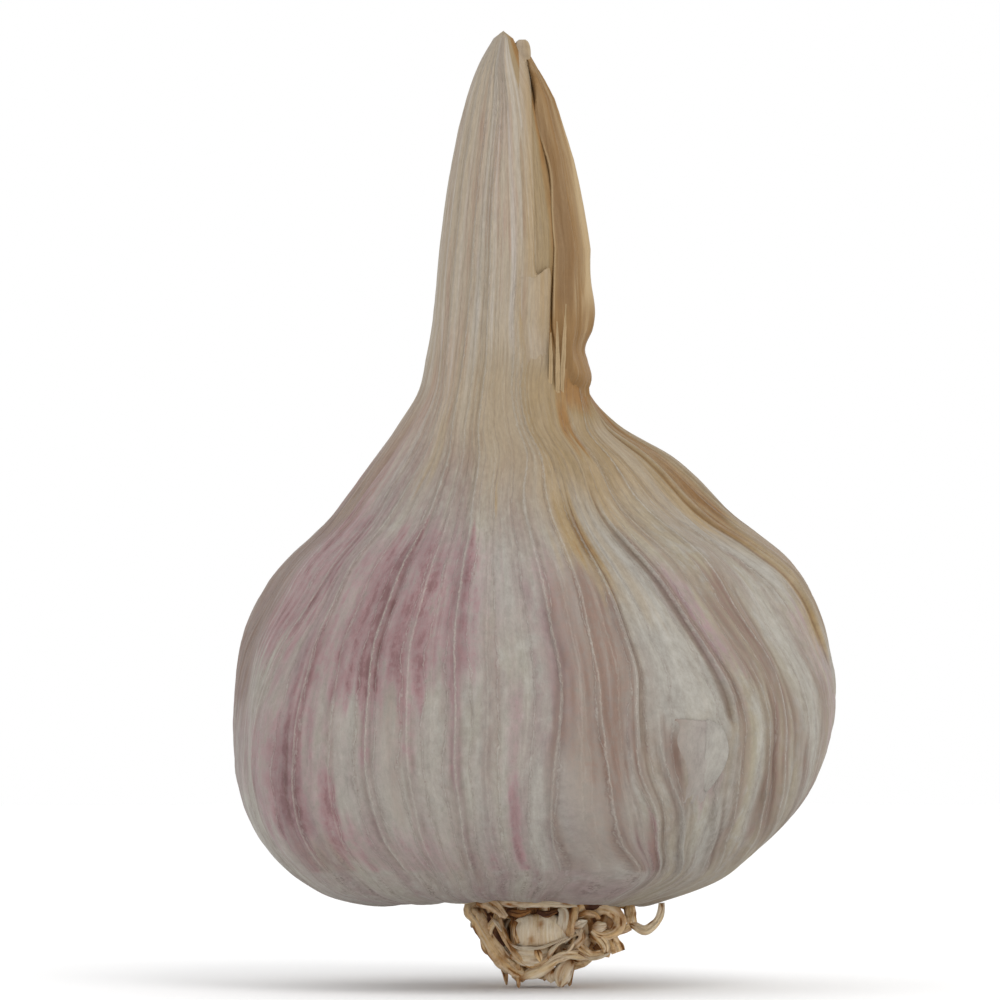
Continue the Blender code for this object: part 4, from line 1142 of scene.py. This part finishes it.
def make_splinters(material):
    """Slivers of leaf that stand up in front of the sheath's foot."""
    slivers = Tangle()
    for line, widths in SPLINTERS:
        path = [neck_point(*place).tolist() for place in line]
        slivers.ribbon(path, widths, 0.12, 50, pale=0.55, radial=True)
    slivers.piece("leaf_slivers", material, "neck_sheath", "dry_leaf")


# ------------------------------------------------------------------ the torn skin

def torn_patch(name, skin, material, left, right, lift, blush):
    """A thin sheet of skin over the bulb's, between two edges; lift says how far its points stand off."""
    down, across = row_share(TORN_ROWS), column_share(TORN_COLUMNS)
    edges = [spline(np.linspace(0, 1, len(edge)), edge, down[:, 0])[:, None] for edge in (left, right)]
    places = edges[0] * (1 - across[:, :, None]) + edges[1] * across[:, :, None]
    out = lift(down, across) + 0.03 * Noise(91, 9, 0.2)(across * 90, down)
    azimuth, height = places[:, :, 0], places[:, :, 1]
    top, under = skin.surface(azimuth, height, out), skin.surface(azimuth, height, out - TORN_THICKNESS)
    grain = grain_round(azimuth, height, SKIN_RING)
    # umber darkens the panel towards its left edge, where it sinks under the skin: painted shade
    piece = leaf_shell(name, material, top[:, ::-1], under[:, ::-1], {
        "grain": grain[:, ::-1], "pale": 0.9 - 5 * blush, "blush": blush,
        "umber": blush * 12 * (1 - across[:, ::-1]) ** 3})
    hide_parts("bulb")
    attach(piece, BODY)


def panel_lift(down, across):
    """The panel lies close to the skin, with its left edge sunk and its top a little raised."""
    return 0.14 * ease(0, 0.35, across) - 0.10 + 0.10 * ease(0.12, 0, down) - 0.06 * ease(0.8, 1, down)


def flap_lift(down, across):
    """The flap stands off the skin more and more towards its right edge, most at its middle."""
    return 0.06 + 0.65 * across ** 1.6 * np.sqrt(np.sin(math.pi * (0.03 + 0.94 * down)))


# ------------------------------------------------------------------ the roots

class Tangle:
    """Ribbons and threads of root, gathered into one mesh."""

    def __init__(self):
        self.points, self.faces, self.count = [], [], 0
        self.attributes = {"grain": [], "pale": [], "dark": []}

    def add(self, points, faces, grain, pale, dark):
        """Joins one body of points and faces, with its masks, to the mesh."""
        self.faces += [tuple(int(corner) + self.count for corner in face) for face in faces]
        self.points.append(points.reshape(-1, 3))
        self.attributes["grain"].append(grain.reshape(-1, 3))
        self.attributes["pale"].append(np.clip(pale, 0, 1).ravel())
        self.attributes["dark"].append(np.clip(dark, 0, 1).ravel())
        self.count += len(self.points[-1])

    def ribbon(self, line, widths, thickness, bend, roll=(0, 0), pale=0, dark=0, radial=False,
               columns=RIBBON_ACROSS):
        """A dried root pressed into a strip along a smooth line; it faces the front, or outward if radial."""
        line = np.array(line, float)
        length = np.linalg.norm(np.diff(line, axis=0), axis=1).sum()
        steps = int(np.clip(length / RIBBON_STEP, RIBBON_FEWEST, RIBBON_MOST))
        path = even_spline(line, steps)
        share = row_share(steps)
        ahead = np.gradient(path, axis=0)
        ahead /= np.linalg.norm(ahead, axis=1, keepdims=True)
        hint = np.array([0, -1, 0]) + 0 * path
        if radial:
            hint = (path - np.array([*CORE_CENTRE, 0])) * np.array([1, 1, 0.15])
        facing = hint - ahead * (hint * ahead).sum(1, keepdims=True)
        facing /= np.maximum(np.linalg.norm(facing, axis=1, keepdims=True), 1e-6)
        side = np.cross(ahead, facing)
        turn = np.radians(roll[0] + (roll[1] - roll[0]) * share)
        facing, side = (facing * np.cos(turn) + side * np.sin(turn),
                        side * np.cos(turn) - facing * np.sin(turn))

        u = np.linspace(-1, 1, columns)[None, :]
        place = share * length
        seed = RIBBON_SEED + len(self.points)

        def noise(step, degrees, grain_length, across=80, sides=u):
            return Noise(seed + step, degrees, grain_length)(sides * across + 90, place)

        width = spline(np.linspace(0, 1, len(widths)), widths, share[:, 0])[:, None]
        wrinkle = noise(0, 24, 1.3) + 0.5 * noise(500, 9, 0.5)
        ragged = 1 + 0.16 * noise(900, 120, 0.6, 60) * np.abs(u)
        half_bend = math.radians(0.62 * bend) / 2
        out = width / 2 * ragged * np.sin(half_bend * u) / half_bend
        back = width / 2 * (np.cos(half_bend * u) - 1) / half_bend
        fold = 0.13 * wrinkle * np.minimum(width, 1.3) * (0.3 + 0.7 * ease(4.5, 2.5, width))
        close = np.sqrt(np.clip(np.minimum(share, 1 - share) * length / 0.3, 0.05, 1))
        half = thickness / 2 * np.sqrt(1 - 0.92 * u ** 2) * close

        def sheet(lift):
            return (path[:, None] + side[:, None] * out[:, :, None]
                    + facing[:, None] * (back + lift)[:, :, None])

        rings = np.concatenate([sheet(fold + half), sheet(0.8 * fold - half)[:, ::-1]], axis=1)
        rings[:, :, 2] = np.maximum(rings[:, :, 2], GROUND)
        both = np.concatenate([u, u[:, ::-1]], axis=1)
        grain = np.stack(np.broadcast_arrays(both * width / 2 + 3.7 * seed, np.sign(both) * 0.3, place), -1)
        blot = noise(1300, 50, 1.5, 60, both)
        # darker in the hollows of the wrinkles as painted shade, in brown blots, and along its first 1.2 mm
        # if thin
        shade = dark + 0.75 * np.clip(-np.concatenate([wrinkle, wrinkle[:, ::-1]], 1) - 0.35, 0, 1)
        shade = shade + 0.45 * np.clip(1.4 * blot - 0.35, 0, 1) * (1 - 0.9 * pale)
        shade = shade + 0.45 * ease(1.2, 0, place) * (thickness < 0.7)
        # paler towards both edges: painted highlight
        self.add(rings, tube_faces(steps, 2 * columns), grain,
                 pale + 0.45 * np.abs(both) ** 6 + 0 * rings[:, :, 0], shade)

    def piece(self, name, material, node, slot):
        """The finished mesh as one piece that stands in for a CAD node."""
        attributes = {label: np.concatenate(parts) for label, parts in self.attributes.items()}
        made = make_mesh(name, material, np.concatenate(self.points), self.faces, attributes)
        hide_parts(node)
        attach(made, BODY)


def around(reach, azimuth, height):
    """A point of the tuft: azimuth in radians from the front towards the right."""
    return (CORE_CENTRE[0] + reach * math.sin(azimuth), -reach * math.cos(azimuth), height)


def tuft_reach(height):
    """How far out the tuft goes at a height."""
    return 2.7 + 0.70 * height


def fill_line(draw, index):
    """The same random root as in the part's source."""
    share_round = (index + draw.uniform(0.1, 0.9)) / FILL_STRANDS
    turn = math.radians(FILL_FRONT + (360 - 2 * FILL_FRONT) * share_round)
    swing = draw.uniform(-0.6, 0.6)
    end_height = draw.uniform(0.9, 4.6)
    root = draw.uniform(1.5, 4.6)
    points = []
    for share in (0, 0.3, 0.6, 0.85, 1):
        height = FILL_TOP + (end_height - FILL_TOP) * share
        reach = root + (draw.uniform(0.80, 0.97) * tuft_reach(height) - root) * min(1, share * 1.9)
        if share == 1:
            reach -= draw.uniform(0.4, 1.4)
            height += draw.uniform(0, 0.7)
        points.append(around(reach, turn + swing * share, height))
    return points, draw.uniform(1, 1.6), draw.uniform(-2, 2)


def make_root_plate(tangle):
    """The hard disc that the roots grow from, wrinkled and browned."""
    radius, height = np.split(even_spline(PLATE_PROFILE, PLATE_ROWS), 2, axis=1)
    azimuth = np.linspace(0, 360, PLATE_COLUMNS, endpoint=False)[None, :]
    ribs = Noise(81, 7, 3)(azimuth, height)
    radius = radius * (1 + 0.035 * ribs + 0.015 * Noise(82, 3, 0.8)(azimuth, height))
    share, span = PLATE_HOLLOW
    radius = radius * (1 - share * bell(angle_between(azimuth, 0) / span))
    turn = np.radians(azimuth)
    points = np.stack([PLATE_CENTRE[0] + radius * np.sin(turn), PLATE_CENTRE[1] - radius * np.cos(turn),
                       height + 0 * radius], -1)
    # paler where its wrinkles stand out and darker where they sink: painted highlight and shade
    tangle.add(points, tube_faces(PLATE_ROWS, PLATE_COLUMNS), grain_round(azimuth, height, PLATE_RING),
               0.35 * ease(0.2, 0.8, ribs), 0.75 * ease(0.5, -0.4, ribs) + 0.15)


def make_roots(material):
    """The plate, the roots that show, the three that it stands on, its core, and finer ones among them."""
    tangle = Tangle()
    make_root_plate(tangle)
    for line, widths, thickness, bend, pale, dark, *roll in RIBBONS:
        tangle.ribbon(line, widths, thickness, bend, roll or (0, 0), pale, dark)
    for across, back in FEET:
        line = [(share * across, share_back * back, height) for share, share_back, height in FOOT_LINE]
        tangle.ribbon(line, (1.3, 1.2, 0.8, 0.15), 0.4, 80, (0, 30), 0, 0.3, True)
    draw = random.Random(FILL_SEED)
    for index in range(CORE_STRANDS):
        turn = 2 * math.pi * (index + draw.uniform(-0.2, 0.2)) / CORE_STRANDS
        line = [around(reach, turn + draw.uniform(-0.22, 0.22), height) for height, reach in CORE_LINE]
        thick, roll = draw.uniform(1.2, 1.9), math.degrees(draw.uniform(-1, 1))
        tangle.ribbon(line, (thick, thick, 0.8 * thick), 0.5 * thick, 90, (0, roll), 0.15, 0.2, True)
    for index in range(FILL_STRANDS):
        line, thick, twist = fill_line(draw, index)
        roll = (0, math.degrees(twist) * 0.5)
        pale = draw.choice((0, .1, .5))
        tangle.ribbon(line, (thick, thick, 0.65 * thick), 0.4 * thick, 90, roll, pale, 0.1, True)
    draw = random.Random(THREAD_SEED)
    for _ in range(THREADS):
        azimuth = math.radians(draw.uniform(FILL_FRONT, 360 - FILL_FRONT))
        swing, low = draw.uniform(-0.9, 0.9), draw.uniform(1, 5.5)
        line = []
        for share in (0, 0.35, 0.7, 1):
            height = FILL_TOP + (low - FILL_TOP) * share
            reach = min(draw.uniform(0.72, 0.97) * tuft_reach(height), 2.5 + 5 * share)
            line.append(around(reach, azimuth + swing * share, height))
        tangle.ribbon(line, (0.5, 0.4, 0.2), 0.25, 60, (0, 60), draw.choice((0, .3, .7)), 0.05, True, 5)
    tangle.piece("dried_roots", material, "root_tuft", "dry_root")


# ------------------------------------------------------------------ stage

def make_floor():
    """A plain pale disc."""
    mesh = bpy.data.meshes.new("floor")
    turns = [2 * math.pi * i / FLOOR_SIDES for i in range(FLOOR_SIDES)]
    ring = [(FLOOR_RADIUS * math.cos(turn), FLOOR_RADIUS * math.sin(turn), 0) for turn in turns]
    mesh.from_pydata(ring, [], [tuple(range(FLOOR_SIDES))])
    floor = place_object("floor", mesh)
    n = Nodes("floor")
    n.tint = FLOOR_WHITE
    mesh.materials.append(n.finish(0.9, 0.1))


def make_light():
    """An even white surround and one soft light from the upper right."""
    world = bpy.data.worlds.new("studio")
    world.use_nodes = True
    background = world.node_tree.nodes["Background"]
    background.inputs["Color"].default_value = (1, 1, 1, 1)
    background.inputs["Strength"].default_value = 1
    bpy.context.scene.world = world
    data = bpy.data.lights.new("key", "AREA")
    data.shape = "DISK"
    data.size = KEY_LIGHT["size"]
    data.energy = KEY_LIGHT["power"]
    lamp = place_object("key", data)
    lamp.location = KEY_LIGHT["place"]
    lamp.rotation_euler = (Vector(KEY_LIGHT["aim"]) - lamp.location).to_track_quat("-Z", "Y").to_euler()


def make_camera():
    """The camera, straight in front and level with the middle of the head."""
    middle = (CAD_BOX[0].z + CAD_BOX[1].z) / 2
    data = bpy.data.cameras.new("camera")
    data.sensor_width = SENSOR_WIDTH
    data.lens = SENSOR_WIDTH * CAMERA_DISTANCE / VIEW_WIDTH
    camera = place_object("camera", data)
    camera.location = (CAMERA_SHIFT[0], -CAMERA_DISTANCE, middle + CAMERA_SHIFT[1])
    camera.rotation_euler = (math.pi / 2, 0, 0)
    bpy.context.scene.camera = camera
    bpy.context.scene.view_settings.view_transform = "Standard"


def main():
    make_floor()
    make_light()
    make_camera()
    paper = skin_material()
    skin = make_skin(paper)
    torn_patch("torn_panel", skin, paper, PANEL_LEFT, PANEL_RIGHT, panel_lift, 0.06)
    torn_patch("torn_flap", skin, paper, FLAP_LEFT, FLAP_RIGHT, flap_lift, 0)
    leaf = leaf_material()
    make_neck_sheath(leaf)
    make_neck_strip(paper)
    make_splinters(leaf)
    make_roots(root_material())


main()
